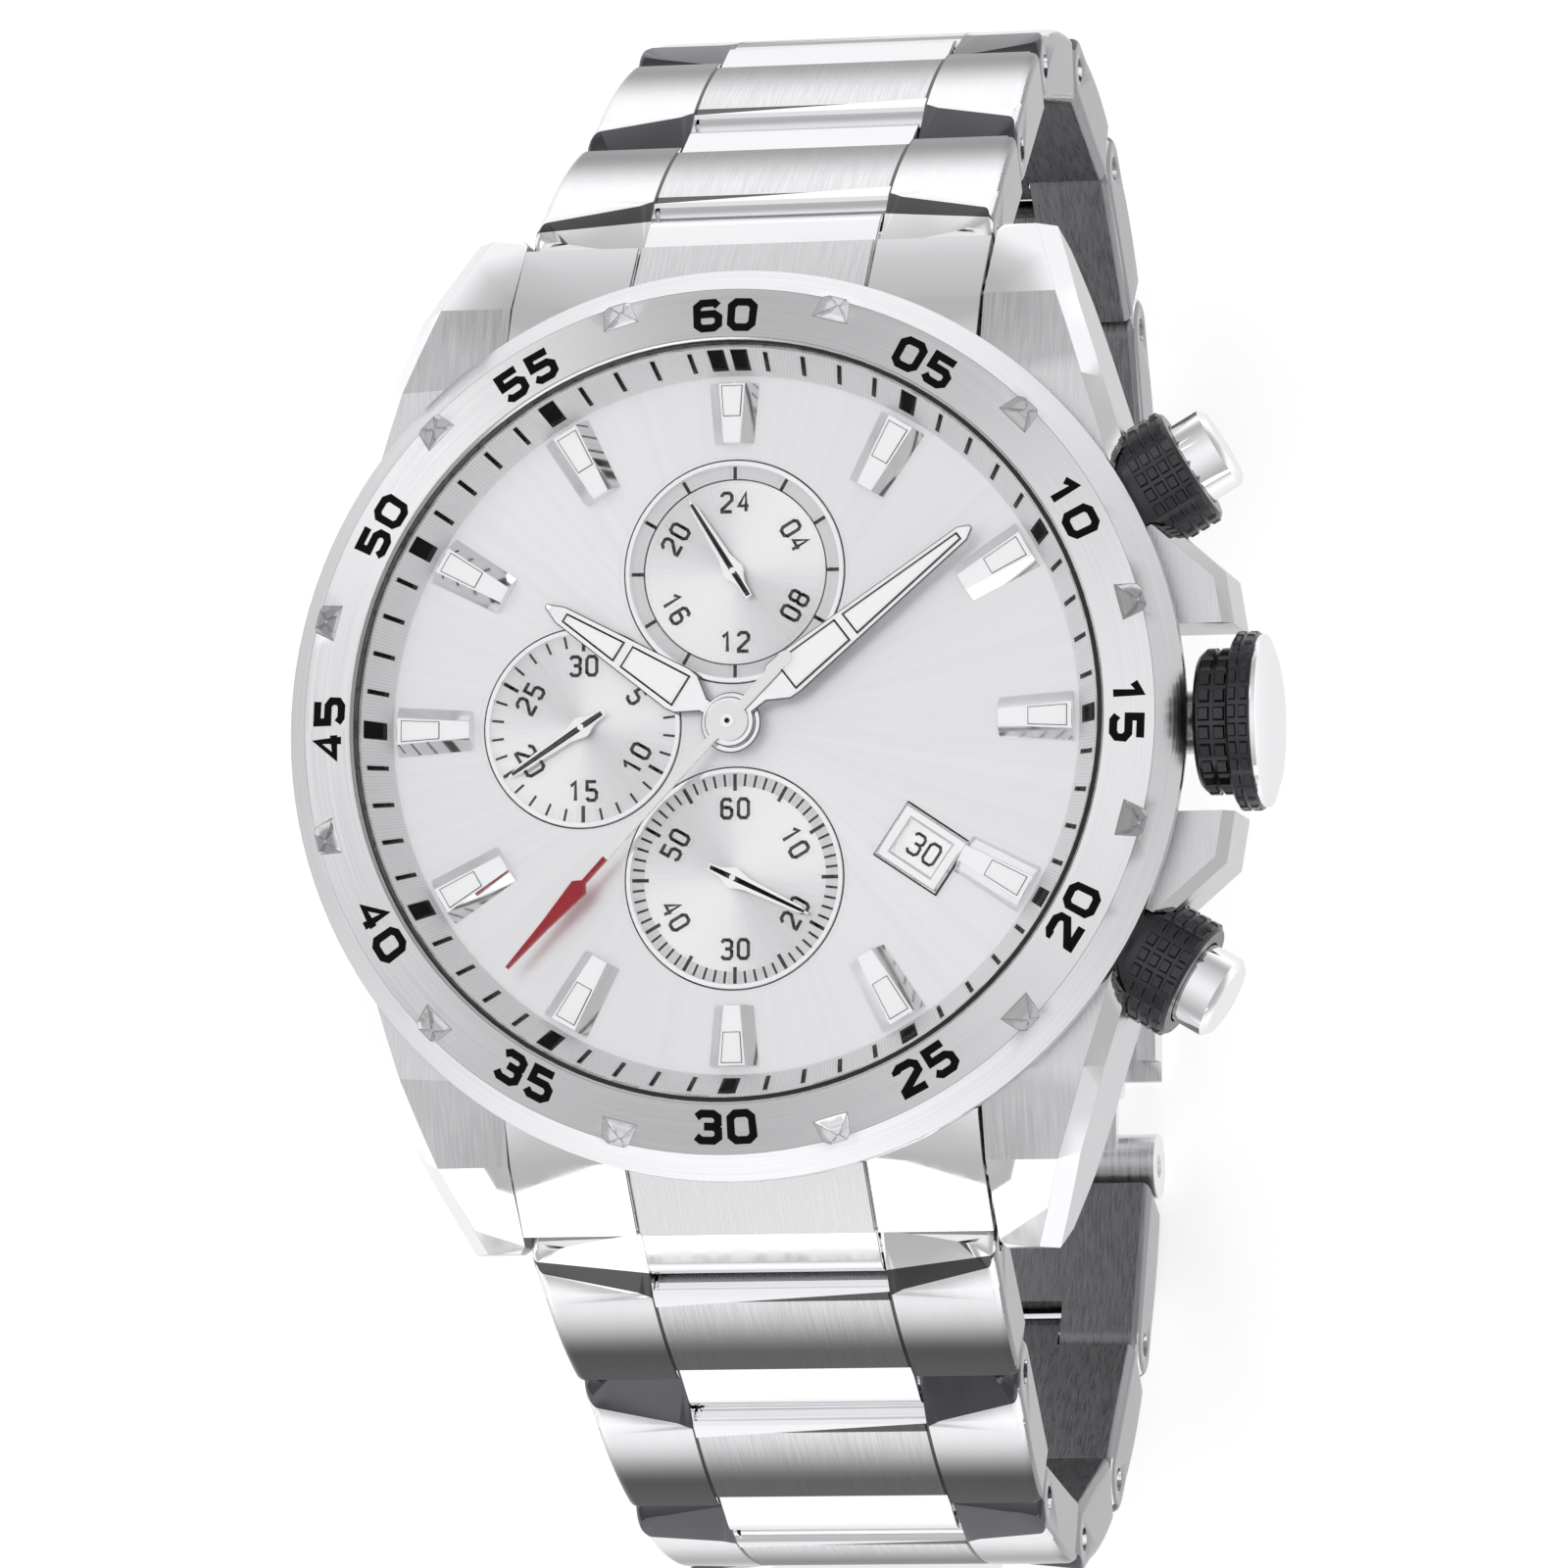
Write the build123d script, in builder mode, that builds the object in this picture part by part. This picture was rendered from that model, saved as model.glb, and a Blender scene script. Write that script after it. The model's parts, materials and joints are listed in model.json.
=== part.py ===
"""Steel chronograph wristwatch with a closed three-row link bracelet.

Frame: origin at the centre of the case back's outer face, +Z towards the crystal,
+Y towards 12 o'clock, +X towards the crown. Millimetres.
"""

from build123d import *

import os
from math import cos, radians, sin

# Case
DIAL_Z = 8.4
CASE_R = 20.4
CASE_BOTTOM_Z = 1.0
CASE_TOP_Z = 7.4
CAVITY_R = 17.2
AXIS_Z = 4.5
LUG_TIP_Y = 24.6
LUG_GAP = 23.2
LUG_BEND_Y = 20.7
LUG_BEND_Z = 5.9
LUG_BEVEL = 0.8
PUSHER_ANGLES = (30, -30)

# Bezel, crystal and back
BEZEL_R = 21.75
BEZEL_BREAK_R = 20.6
BEZEL_BORE_R = 18.1
BEZEL_TOP_Z = 10.75
CRYSTAL_R = 17.92
CRYSTAL_Z = 10.3
CRYSTAL_TOP_Z = 11.4
BACK_FLANGE_R = 19.0
BACK_PLUG_TOP_Z = 2.0
PLUG_R = 17.18

# Dial
DIAL_R = 17.9
DIAL_T = 0.4
DIAL_OPEN_R = 16.7
SUBDIALS = {"day": (0, 7.3, 5.3), "seconds": (0, -7.35, 5.25), "minutes": (-7.4, 0, 4.75)}
SUBDIAL_DEPTH = 0.15
DATE_R = 10.95
DATE_ANGLE = 124
DATE_FRAME = (3.5, 2.9)
DATE_WINDOW = (2.3, 1.8)

# Hands: clock angle at rest, length, height of the underside
HOUR = (302.8, 10.75, 9.05)
MINUTE = (52.4, 14.75, 9.42)
CHRONO = (222.9, 15.75, 9.75)
HAND_T = 0.2
SUB_HAND_Z = 8.62
SUB_HAND_T = 0.18
SUB_HANDS = {
    "day_hand": ("day", 328, 4.0, 1.5),
    "small_seconds_hand": ("seconds", 116, 4.05, 1.3),
    "minute_counter_hand": ("minutes", 237, 4.2, 1.3),
}
RUNNING_GAP = 0.04

# Crown and push buttons
CROWN_R = 4.15
CROWN_GRIP_R = 3.35
CROWN_X = 21.9
CROWN_FLANGE_X = 23.6
CROWN_CAP_X = 24.75
CROWN_END_X = 25.5
TUBE_R = 1.5
STEM_R = 0.55
COLLAR_R = 2.9
COLLAR_START = 21.4
COLLAR_END = 24.7
COLLAR_FLOOR = 22.1
BUTTON_R = 2.05
BUTTON_START = 23.3
BUTTON_END = 26.5
BUTTON_STEM_R = 0.7

# Bracelet: slopes below the horizontal from the lugs to the clasp
FIRST_PIVOT = (24.1, 0.8)
LINK_PITCH = 10.5
LINK_SLOPES = (56, 57, 81, 109, 134, 156)
LINK_WIDTHS = (22.9, 21.9, 20.7, 20.2, 20.0, 20.0, 20.0)
END_SLOPE = 43
LINK_T = 3.4
CENTRE_W = 11.6
SEAM_W = 0.14
SEAM_DEPTH = 0.5
BAR_R = 1.45
BAR_BACK = 2.6
LINK_GAP = 0.15
BAR_SIDE_GAP = 0.06
PIN_R = 0.6
PIN_GAP = 0.03
SPRING_BAR = (21.6, 3.4)

# Clasp, measured from its first pivot's height
CLASP_HALF_W = 10.0
BLADE_HALF_W = 8.0
BLADE_SEAM = 3.0
COVER_R = 1.5
FOLD_A = (13.0, 0.35)
FOLD_A_R = 0.95
FOLD_B = (-12.5, -0.35)
FOLD_B_R = 0.9
CLASP_PIN_R = 0.45

LINK_R = LINK_T / 2
LINK_LENGTH = LINK_PITCH - LINK_R - LINK_GAP
CROWN = ((1.6, 1.72), (4.9, 1.95), (LINK_LENGTH, 1.6))
FACET_TOP = (2.3, 1.87)
FACET_FOOT = (-1.6, 0.6)
FACET_SLANT = (-1.9, -0.1, 4.7)


def save(name, *pieces):
    """Write one node; several touching solids stay separate inside it."""
    if len(pieces) == 1:
        node = pieces[0].part
        node.label = name
    else:
        node = Compound(label=name, children=[piece.part for piece in pieces])
    export_step(node, f"parts/{name}.step")


def clock_plane(angle, height, centre=(0, 0)):
    """Plane at a height whose x axis points along a clock angle."""
    turn = radians(angle)
    return Plane(
        origin=(centre[0], centre[1], height), x_dir=(sin(turn), cos(turn), 0), z_dir=(0, 0, 1)
    )


def radial_plane(angle, distance):
    """Plane across a radius at the height of the crown's axis, facing outwards."""
    turn = radians(angle)
    out = (cos(turn), sin(turn), 0)
    return Plane(origin=(distance * out[0], distance * out[1], AXIS_Z), x_dir=(0, 0, 1), z_dir=out)


def ring(inner, outer, low, high):
    """Plain ring about the dial's axis."""
    with BuildPart() as made:
        with BuildSketch(Plane.XY.offset(low)):
            Circle(outer)
            Circle(inner, mode=Mode.SUBTRACT)
        extrude(amount=high - low)
    return made


def pivots():
    """Pivot centres (y, z) of one bracelet half, from the lugs to the clasp."""
    places = [FIRST_PIVOT]
    for slope in LINK_SLOPES:
        y, z = places[-1]
        turn = radians(slope)
        places.append((y + LINK_PITCH * cos(turn), z - LINK_PITCH * sin(turn)))
    return places


def chain_plane(pivot, slope, side):
    """Plane at a pivot: x along the bracelet, y outwards, for the half on that side."""
    turn = radians(slope)
    return Plane(
        origin=(0, side * pivot[0], pivot[1]),
        x_dir=(0, side * cos(turn), -sin(turn)),
        z_dir=(side, 0, 0),
    )


PIVOTS = pivots()
CLASP_Y, CLASP_Z = PIVOTS[-1]


# ---------------------------------------------------------------- case


def lug_outline():
    """One quadrant of the lugs' plan."""
    half_gap = LUG_GAP / 2
    with BuildLine() as outline:
        Polyline((19.6, 9), (half_gap, 9), (half_gap, 24.3), (11.9, LUG_TIP_Y), (14.3, LUG_TIP_Y))
        ThreePointArc((14.3, LUG_TIP_Y), (17.05, 17.6), (19.6, 9))
    return outline


def crown_guards():
    """The two shoulders beside the crown, bevelled along their outer tops."""
    with BuildPart() as guards:
        with BuildSketch(Plane.XY.offset(2.2)):
            with BuildLine():
                Polyline((18, 11), (20.3, 9.5), (23.3, 6.9), (23.7, 4.45), (18, 4.45), close=True)
            make_face()
            mirror(about=Plane.XZ)
        extrude(amount=4.6)
        tips = guards.faces().filter_by(lambda f: f.normal_at().X > 0.3)
        tops = guards.faces().sort_by(Axis.Z)[-2:]
        chamfer([e for e in tops.edges() if any(e.is_same(t) for t in tips.edges())], length=0.5)
    return guards


def make_case_middle():
    side = [
        (0, CASE_TOP_Z), (16.5, CASE_TOP_Z), (LUG_BEND_Y, LUG_BEND_Z), (LUG_TIP_Y, 2.2),
        (LUG_TIP_Y, 1.2), (23.6, 0.1), (21, 0.0), (16.2, CASE_BOTTOM_Z), (0, CASE_BOTTOM_Z),
    ]
    with BuildPart() as case:
        with BuildSketch(Plane.XY):
            Circle(CASE_R)
            make_face(lug_outline().line)
            mirror(about=Plane.XZ)
            mirror(about=Plane.YZ)
        extrude(amount=CASE_TOP_Z)
        with BuildSketch(Plane.YZ):
            with BuildLine():
                Polyline(*side, close=True)
            make_face()
            mirror(about=Plane.YZ)
        extrude(amount=BEZEL_R, both=True, mode=Mode.INTERSECT)
        flanks = case.faces().filter_by(GeomType.CYLINDER).edges()
        tops = case.faces().filter_by(lambda f: f.normal_at().Z > 0.3 and f.center().Z > 3)
        outer = [e for e in flanks if abs(e.center().X) > LUG_GAP / 2 and abs(e.center().Y) > 9]
        chamfer([e for e in outer if any(e.is_same(t) for t in tops.edges())], length=LUG_BEVEL)
        add(crown_guards().part)
        for angle in PUSHER_ANGLES:
            with BuildSketch(radial_plane(angle, COLLAR_START)):
                Circle(COLLAR_R + 0.1)
            extrude(amount=8, mode=Mode.SUBTRACT)
            with BuildSketch(radial_plane(angle, CAVITY_R + 1)):
                Circle(COLLAR_R - 0.3)
            extrude(amount=COLLAR_START - CAVITY_R - 1)
        with BuildSketch(Plane.XY):
            Circle(CAVITY_R)
        extrude(amount=CASE_TOP_Z, mode=Mode.SUBTRACT)
        with BuildSketch(Plane.XY.offset(CASE_BOTTOM_Z)):
            Circle(CAVITY_R + 0.7)
        extrude(amount=0.7, mode=Mode.SUBTRACT)
        with BuildSketch(Plane.XY):
            Circle(BACK_FLANGE_R + 0.05)
        extrude(amount=CASE_BOTTOM_Z, mode=Mode.SUBTRACT)
        with BuildSketch(radial_plane(0, 10)):
            Circle(TUBE_R)
        extrude(amount=20, mode=Mode.SUBTRACT)
        for angle in PUSHER_ANGLES:
            with BuildSketch(radial_plane(angle, 10)):
                Circle(BUTTON_STEM_R + RUNNING_GAP)
            extrude(amount=20, mode=Mode.SUBTRACT)
        for end in (1, -1):
            with BuildSketch(Plane.YZ):
                with Locations((end * SPRING_BAR[0], SPRING_BAR[1])):
                    Circle(0.4)
            extrude(amount=13.2, both=True, mode=Mode.SUBTRACT)
    save("case_middle", case)


def make_case_back():
    with BuildPart() as back:
        with BuildSketch(Plane.XZ):
            with BuildLine():
                Polyline(
                    (0, 0), (16.2, 0), (BACK_FLANGE_R, 0.55), (BACK_FLANGE_R, CASE_BOTTOM_Z),
                    (PLUG_R, CASE_BOTTOM_Z), (PLUG_R, BACK_PLUG_TOP_Z), (15.4, BACK_PLUG_TOP_Z),
                    (15.4, 1.2), (0, 1.2), close=True,
                )
            make_face()
        revolve(axis=Axis.Z)
        with BuildSketch(Plane.XY.offset(-0.1)):
            with PolarLocations(17.6, 6):
                Rectangle(2.4, 1.8)
        extrude(amount=0.6, mode=Mode.SUBTRACT)
    save("case_back", back)
    save("case_back_gasket", ring(CAVITY_R, CAVITY_R + 0.7, CASE_BOTTOM_Z, CASE_BOTTOM_Z + 0.7))


def make_bezel():
    with BuildPart() as bezel:
        with BuildSketch(Plane.XZ):
            with BuildLine():
                Polyline(
                    (BEZEL_BORE_R, CASE_TOP_Z), (21.3, CASE_TOP_Z), (BEZEL_R, 7.85), (BEZEL_R, 8.5),
                    (BEZEL_BREAK_R, 10.25), (BEZEL_BORE_R + 0.15, BEZEL_TOP_Z),
                    (BEZEL_BORE_R, BEZEL_TOP_Z - 0.15), close=True,
                )
            make_face()
        revolve(axis=Axis.Z)
        with BuildSketch(Plane.XY.offset(10.5)):
            with PolarLocations(20.4, 12, start_angle=15):
                Rectangle(1.7, 1.8)
        extrude(amount=-0.85, taper=44, mode=Mode.SUBTRACT)
    save("bezel", bezel)


def make_crystal():
    with BuildPart() as crystal:
        with BuildSketch(Plane.XY.offset(CRYSTAL_Z)):
            Circle(CRYSTAL_R)
        extrude(amount=CRYSTAL_TOP_Z - CRYSTAL_Z)
        chamfer(crystal.edges().sort_by(Axis.Z)[-1:], length=0.25)
    save("crystal", crystal)
    save("crystal_gasket", ring(CRYSTAL_R, BEZEL_BORE_R, CRYSTAL_Z, BEZEL_TOP_Z - 0.15))


# ---------------------------------------------------------------- dial


def make_dial():
    bottom = DIAL_Z - DIAL_T
    with BuildPart() as dial:
        with BuildSketch(Plane.XY.offset(bottom)):
            Circle(DIAL_R)
            Circle(1.05, mode=Mode.SUBTRACT)
            for x, y, _ in SUBDIALS.values():
                with Locations((x, y)):
                    Circle(0.3, mode=Mode.SUBTRACT)
        extrude(amount=DIAL_T)
        with BuildSketch(Plane.XY.offset(DIAL_Z - SUBDIAL_DEPTH)):
            for x, y, radius in SUBDIALS.values():
                with Locations((x, y)):
                    Circle(radius)
        extrude(amount=DIAL_T, mode=Mode.SUBTRACT)
        with BuildSketch(clock_plane(DATE_ANGLE, bottom)):
            with Locations((DATE_R, 0)):
                Rectangle(*DATE_WINDOW)
        extrude(amount=DIAL_T, mode=Mode.SUBTRACT)
    save("dial", dial)


def make_track_ring():
    with BuildPart() as track:
        with BuildSketch(Plane.XZ):
            with BuildLine():
                Polyline(
                    (DIAL_OPEN_R, DIAL_Z), (DIAL_OPEN_R, DIAL_Z + 0.2), (17.8, CRYSTAL_Z),
                    (18.05, CRYSTAL_Z), (18.05, DIAL_Z), close=True,
                )
            make_face()
        revolve(axis=Axis.Z)
    save("minute_track_ring", track)


def make_indices():
    with BuildPart() as indices:
        for hour in range(12):
            inner, outer = (13.4, 16.3) if hour in (0, 6) else (12.8, 16.4)
            with BuildSketch(clock_plane(30 * hour, DIAL_Z)):
                with BuildLine():
                    Polyline((inner, -0.95), (outer, -1.2), (outer, 1.2), (inner, 0.95), close=True)
                make_face()
            extrude(amount=0.6)
        long_tops = [
            edge for edge in indices.edges().filter_by(lambda e: e.length > 2.8)
            if edge.center().Z > DIAL_Z + 0.55
        ]
        chamfer(long_tops, length=0.55)
    save("hour_indices", indices)


def make_subdial_rings():
    floor = DIAL_Z - SUBDIAL_DEPTH
    with BuildPart() as rings:
        with BuildSketch(Plane.XY.offset(floor)):
            for x, y, radius in SUBDIALS.values():
                with Locations((x, y)):
                    Circle(radius)
                    Circle(radius - 0.2, mode=Mode.SUBTRACT)
        extrude(amount=0.25)
    save("subdial_rings", rings)


def make_date():
    with BuildPart() as frame:
        with BuildSketch(clock_plane(DATE_ANGLE, DIAL_Z)):
            with Locations((DATE_R, 0)):
                Rectangle(*DATE_FRAME)
                Rectangle(*DATE_WINDOW, mode=Mode.SUBTRACT)
        extrude(amount=0.35)
        chamfer(frame.edges().group_by(Axis.Z)[-1], length=0.12)
    save("date_frame", frame)
    with BuildPart() as disc:
        with BuildSketch(Plane.XY.offset(7.65)):
            Circle(12.8)
            Circle(9.2, mode=Mode.SUBTRACT)
            with PolarLocations(9.2, 31):
                Rectangle(0.9, 0.8, mode=Mode.SUBTRACT)
        extrude(amount=0.3)
    save("date_ring", disc)


# ---------------------------------------------------------------- hands


def hand(angle, height, outline, hub_r, bore_r):
    """Flat hand whose half outline (along, half width) is mirrored about its length."""
    points = outline + [(x, -y) for x, y in reversed(outline)]
    plane = clock_plane(angle, height)
    with BuildPart() as made:
        with BuildSketch(plane):
            with BuildLine():
                Polyline(*points, close=True)
            make_face()
            Circle(hub_r)
            Circle(bore_r, mode=Mode.SUBTRACT)
        extrude(amount=HAND_T)
    return made


def make_centre_hands():
    angle, length, height = HOUR
    body = [(0, 0.3), (1.6, 0.35), (2.6, 1.05), (3.1, 1.12), (length - 0.85, 0.45), (length, 0.1)]
    save("hour_hand", hand(angle, height, body, 1.45, 0.95))
    angle, length, height = MINUTE
    body = [(0, 0.3), (2.0, 0.35), (3.0, 1.0), (3.6, 1.05), (length - 0.55, 0.4), (length, 0.1)]
    save("minute_hand", hand(angle, height, body, 1.2, 0.6))
    angle, length, height = CHRONO
    dart = length - 5.5
    body = [
        (-4.4, 0.12), (-4.1, 0.3), (-1.2, 0.22), (0, 0.2), (dart, 0.12), (dart + 0.35, 0.45),
        (length - 2.7, 0.22), (length, 0.08),
    ]
    seconds = hand(angle, height, body, 0.95, 0.32)
    save("chrono_seconds_hand", seconds)


def wheel(teeth, wheel_r, thickness, low, bore_r):
    """Thin toothed wheel about the centre axis."""
    tooth = 0.16
    with BuildPart() as made:
        with BuildSketch(Plane.XY.offset(low)):
            Circle(wheel_r - tooth)
            with PolarLocations(wheel_r - tooth, teeth):
                Rectangle(2 * tooth, tooth * 1.4)
            Circle(bore_r, mode=Mode.SUBTRACT)
        extrude(amount=thickness)
    return made


def arbor_wheel(wheel_r, teeth, wheel_z, tube_r, bore_r, low, high):
    """Wheel on a tube (or a solid arbor when the bore is nought)."""
    with BuildPart() as made:
        with BuildSketch(Plane.XY.offset(low)):
            Circle(tube_r)
        extrude(amount=high - low)
        add(wheel(teeth, wheel_r, 0.2, wheel_z, tube_r - 0.05).part)
        if bore_r:
            with BuildSketch(Plane.XY.offset(low)):
                Circle(bore_r)
            extrude(amount=high - low, mode=Mode.SUBTRACT)
    return made


def make_centre_wheels():
    chrono_r = 0.32
    minute_r = 0.6
    hour_r = 0.95
    hour_wheel = arbor_wheel(3.0, 36, 7.3, hour_r, minute_r + RUNNING_GAP, 7.3, HOUR[2] + HAND_T)
    save("hour_wheel", hour_wheel)
    minute_wheel = arbor_wheel(
        2.2, 24, 6.8, minute_r, chrono_r + RUNNING_GAP, 6.75, MINUTE[2] + HAND_T
    )
    save("minute_wheel", minute_wheel)
    save("chrono_wheel", arbor_wheel(2.8, 40, 5.17, chrono_r, 0, 5.15, CHRONO[2] + HAND_T + 0.1))


def make_sub_hands():
    for name, (dial_name, angle, length, tail) in SUB_HANDS.items():
        x, y, _ = SUBDIALS[dial_name]
        outline = [(-tail, 0.16), (-0.7, 0.22), (0, 0.5), (0.8, 0.3), (length - 0.5, 0.17), (length, 0.03)]
        points = outline + [(a, -b) for a, b in reversed(outline)]
        with BuildPart() as made:
            with BuildSketch(clock_plane(angle, SUB_HAND_Z, (x, y))):
                with BuildLine():
                    Polyline(*points, close=True)
                make_face()
                Circle(0.5)
            extrude(amount=SUB_HAND_T)
            with BuildSketch(Plane.XY.offset(5.7)):
                with Locations((x, y)):
                    Circle(0.2)
            extrude(amount=SUB_HAND_Z + SUB_HAND_T + 0.06 - 5.7)
        save(name, made)


# ---------------------------------------------------------------- movement

SCREW_PLACES = [(12.6 * cos(radians(a)), 12.6 * sin(radians(a))) for a in (62, 152, 298)]
BATTERY = (-7.0, -5.5, 4.75)
COILS = (((4.5, 8.6, 4.3), (0, 90, 0)), ((-8.4, 5.2, 4.3), (90, 0, 0)), ((6.2, -8.4, 4.3), (0, 90, 0)))


def make_movement():
    with BuildPart() as holder:
        with BuildSketch(Plane.XY.offset(2.2)):
            Circle(CAVITY_R - 0.1)
            Circle(15.22, mode=Mode.SUBTRACT)
        extrude(amount=DIAL_Z - DIAL_T - 2.2)
        for angle in (0, *PUSHER_ANGLES):
            with BuildSketch(radial_plane(angle, 10)):
                Rectangle(2.2, 2.2)
            extrude(amount=10, mode=Mode.SUBTRACT)
    save("movement_holder", holder)

    with BuildPart() as plate:
        with BuildSketch(Plane.XY.offset(5.5)):
            Circle(15.2)
        extrude(amount=1.7)
        with BuildSketch(Plane.XY.offset(6.65)):
            Circle(2.6)
        extrude(amount=1, mode=Mode.SUBTRACT)
        with BuildSketch(Plane.XY.offset(5.5)):
            Circle(0.36)
            with Locations(*[(x, y) for x, y, _ in SUBDIALS.values()]):
                Circle(0.2 + PIN_GAP)
        extrude(amount=2, mode=Mode.SUBTRACT)
        with BuildSketch(Plane.XY.offset(5.5)):
            with Locations(*SCREW_PLACES):
                Circle(0.4)
        extrude(amount=1.0, mode=Mode.SUBTRACT)
    save("mainplate", plate)

    with BuildPart() as board:
        with BuildSketch(Plane.XY.offset(5.1)):
            Circle(14.6)
            Circle(3.4, mode=Mode.SUBTRACT)
            with Locations(*SCREW_PLACES):
                Circle(0.4, mode=Mode.SUBTRACT)
        extrude(amount=0.4)
    save("circuit_board", board)

    with BuildPart() as bridge:
        with BuildSketch(Plane.XY.offset(3.0)):
            Circle(14.2)
            with Locations(BATTERY[:2]):
                Circle(BATTERY[2] + 0.4, mode=Mode.SUBTRACT)
            with Locations(*SCREW_PLACES):
                Circle(0.4, mode=Mode.SUBTRACT)
        extrude(amount=0.5)
        with BuildSketch(Plane.XY.offset(3.5)):
            with Locations(*SCREW_PLACES):
                Circle(1.0)
                Circle(0.4, mode=Mode.SUBTRACT)
        extrude(amount=1.6)
    save("train_bridge", bridge)

    with BuildPart() as screws:
        with BuildSketch(Plane.XY.offset(2.6)):
            with Locations(*SCREW_PLACES):
                Circle(0.9)
        extrude(amount=0.4)
        with BuildSketch(Plane.XY.offset(3.0)):
            with Locations(*SCREW_PLACES):
                Circle(0.4)
        extrude(amount=3.5)
        with BuildSketch(Plane.XY.offset(2.6)):
            with Locations(*SCREW_PLACES):
                Rectangle(1.6, 0.3)
        extrude(amount=0.2, mode=Mode.SUBTRACT)
    save("bridge_screws", screws)

    with BuildPart() as battery:
        with BuildSketch(Plane.XY.offset(2.6)):
            with Locations(BATTERY[:2]):
                Circle(BATTERY[2])
        extrude(amount=2.1)
        fillet(battery.edges(), radius=0.25)
    save("battery", battery)

    with BuildPart() as coils:
        for place, turn in COILS:
            with Locations(Location(place, turn)):
                Cylinder(0.7, 6.4)
                Cylinder(0.35, 8.4)
    save("stepper_coils", coils)


# ---------------------------------------------------------------- crown and buttons


def revolved(plane, outline):
    """Turned piece: outline (radius, distance) about the plane's normal."""
    profile_plane = Plane(origin=plane.origin, x_dir=plane.x_dir, z_dir=-plane.y_dir)
    with BuildPart() as made:
        with BuildSketch(profile_plane):
            with BuildLine():
                Polyline(*outline, close=True)
            make_face()
        revolve(axis=Axis(plane.origin, plane.z_dir))
    return made


def make_crown():
    plane = radial_plane(0, 0)
    tube_bore = STEM_R + 0.05
    tube = [(tube_bore, 17.3), (TUBE_R, 17.3), (TUBE_R, 23.2), (tube_bore, 23.2)]
    save("crown_tube", revolved(plane, tube))
    gasket = [(TUBE_R + 0.05, 22.6), (2.05, 22.6), (2.05, 23.1), (TUBE_R + 0.05, 23.1)]
    save("crown_gasket", revolved(plane, gasket))
    grip = [
        (2.1, CROWN_X), (CROWN_GRIP_R - 0.2, CROWN_X), (CROWN_GRIP_R, CROWN_X + 0.2),
        (CROWN_GRIP_R, CROWN_FLANGE_X), (CROWN_R - 0.15, CROWN_FLANGE_X),
        (CROWN_R, CROWN_FLANGE_X + 0.15), (CROWN_R, CROWN_CAP_X), (STEM_R, CROWN_CAP_X),
        (STEM_R, 23.3), (2.1, 23.3),
    ]
    save("crown_grip", revolved(plane, grip))
    cap = [
        (0, CROWN_CAP_X), (CROWN_R - 0.05, CROWN_CAP_X), (CROWN_R - 0.05, CROWN_CAP_X + 0.25),
        (3.3, CROWN_END_X - 0.2), (2.2, CROWN_END_X), (0, CROWN_END_X),
    ]
    save("crown_cap", revolved(plane, cap))
    stem = [
        (0, 11.4), (0.35, 11.4), (0.35, 13.0), (STEM_R, 13.0), (STEM_R, CROWN_CAP_X), (0, CROWN_CAP_X),
    ]
    save("setting_stem", revolved(plane, stem))


def make_pushers():
    collars = []
    bore = BUTTON_STEM_R + RUNNING_GAP
    for angle, name in zip(PUSHER_ANGLES, ("start", "reset")):
        plane = radial_plane(angle, 0)
        collar = [
            (bore, COLLAR_START), (COLLAR_R - 0.15, COLLAR_START), (COLLAR_R, COLLAR_START + 0.15),
            (COLLAR_R, COLLAR_END - 0.15), (COLLAR_R - 0.15, COLLAR_END),
            (BUTTON_R + 0.08, COLLAR_END), (BUTTON_R + 0.08, COLLAR_FLOOR), (bore, COLLAR_FLOOR),
        ]
        collars.append(revolved(plane, collar))
        button = [
            (0, 16.4), (BUTTON_STEM_R, 16.4), (BUTTON_STEM_R, BUTTON_START), (BUTTON_R, BUTTON_START),
            (BUTTON_R, BUTTON_END - 0.3), (BUTTON_R - 0.3, BUTTON_END), (0, BUTTON_END),
        ]
        save(f"{name}_button", revolved(plane, button))
        with BuildPart() as spring:
            foot = radial_plane(angle, COLLAR_FLOOR + 0.2)
            with BuildLine() as coil:
                Helix(0.4, 0.8, 1.3, center=foot.origin, direction=foot.z_dir)
            with BuildSketch(Plane(origin=coil.line @ 0, z_dir=coil.line % 0)):
                Circle(0.12)
            sweep()
        save(f"{name}_button_spring", spring)
    save("pusher_collars", *collars)


# ---------------------------------------------------------------- bracelet


def centre_bar(plane, far):
    """Connector bar fixed ahead of a link, rounded about the next pivot."""
    with BuildPart() as bar:
        with BuildSketch(plane):
            with Locations((far, 0)):
                Circle(BAR_R)
            with Locations((far - BAR_BACK / 2, 0)):
                Rectangle(BAR_BACK, 2 * BAR_R)
            with Locations((far, 0)):
                Circle(PIN_R + PIN_GAP, mode=Mode.SUBTRACT)
        extrude(amount=CENTRE_W / 2 - BAR_SIDE_GAP, both=True)
    return bar


def cross_pin(plane, half_length, radius=PIN_R):
    with BuildPart() as pin:
        with BuildSketch(plane):
            Circle(radius)
        extrude(amount=half_length, both=True)
    return pin


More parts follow.
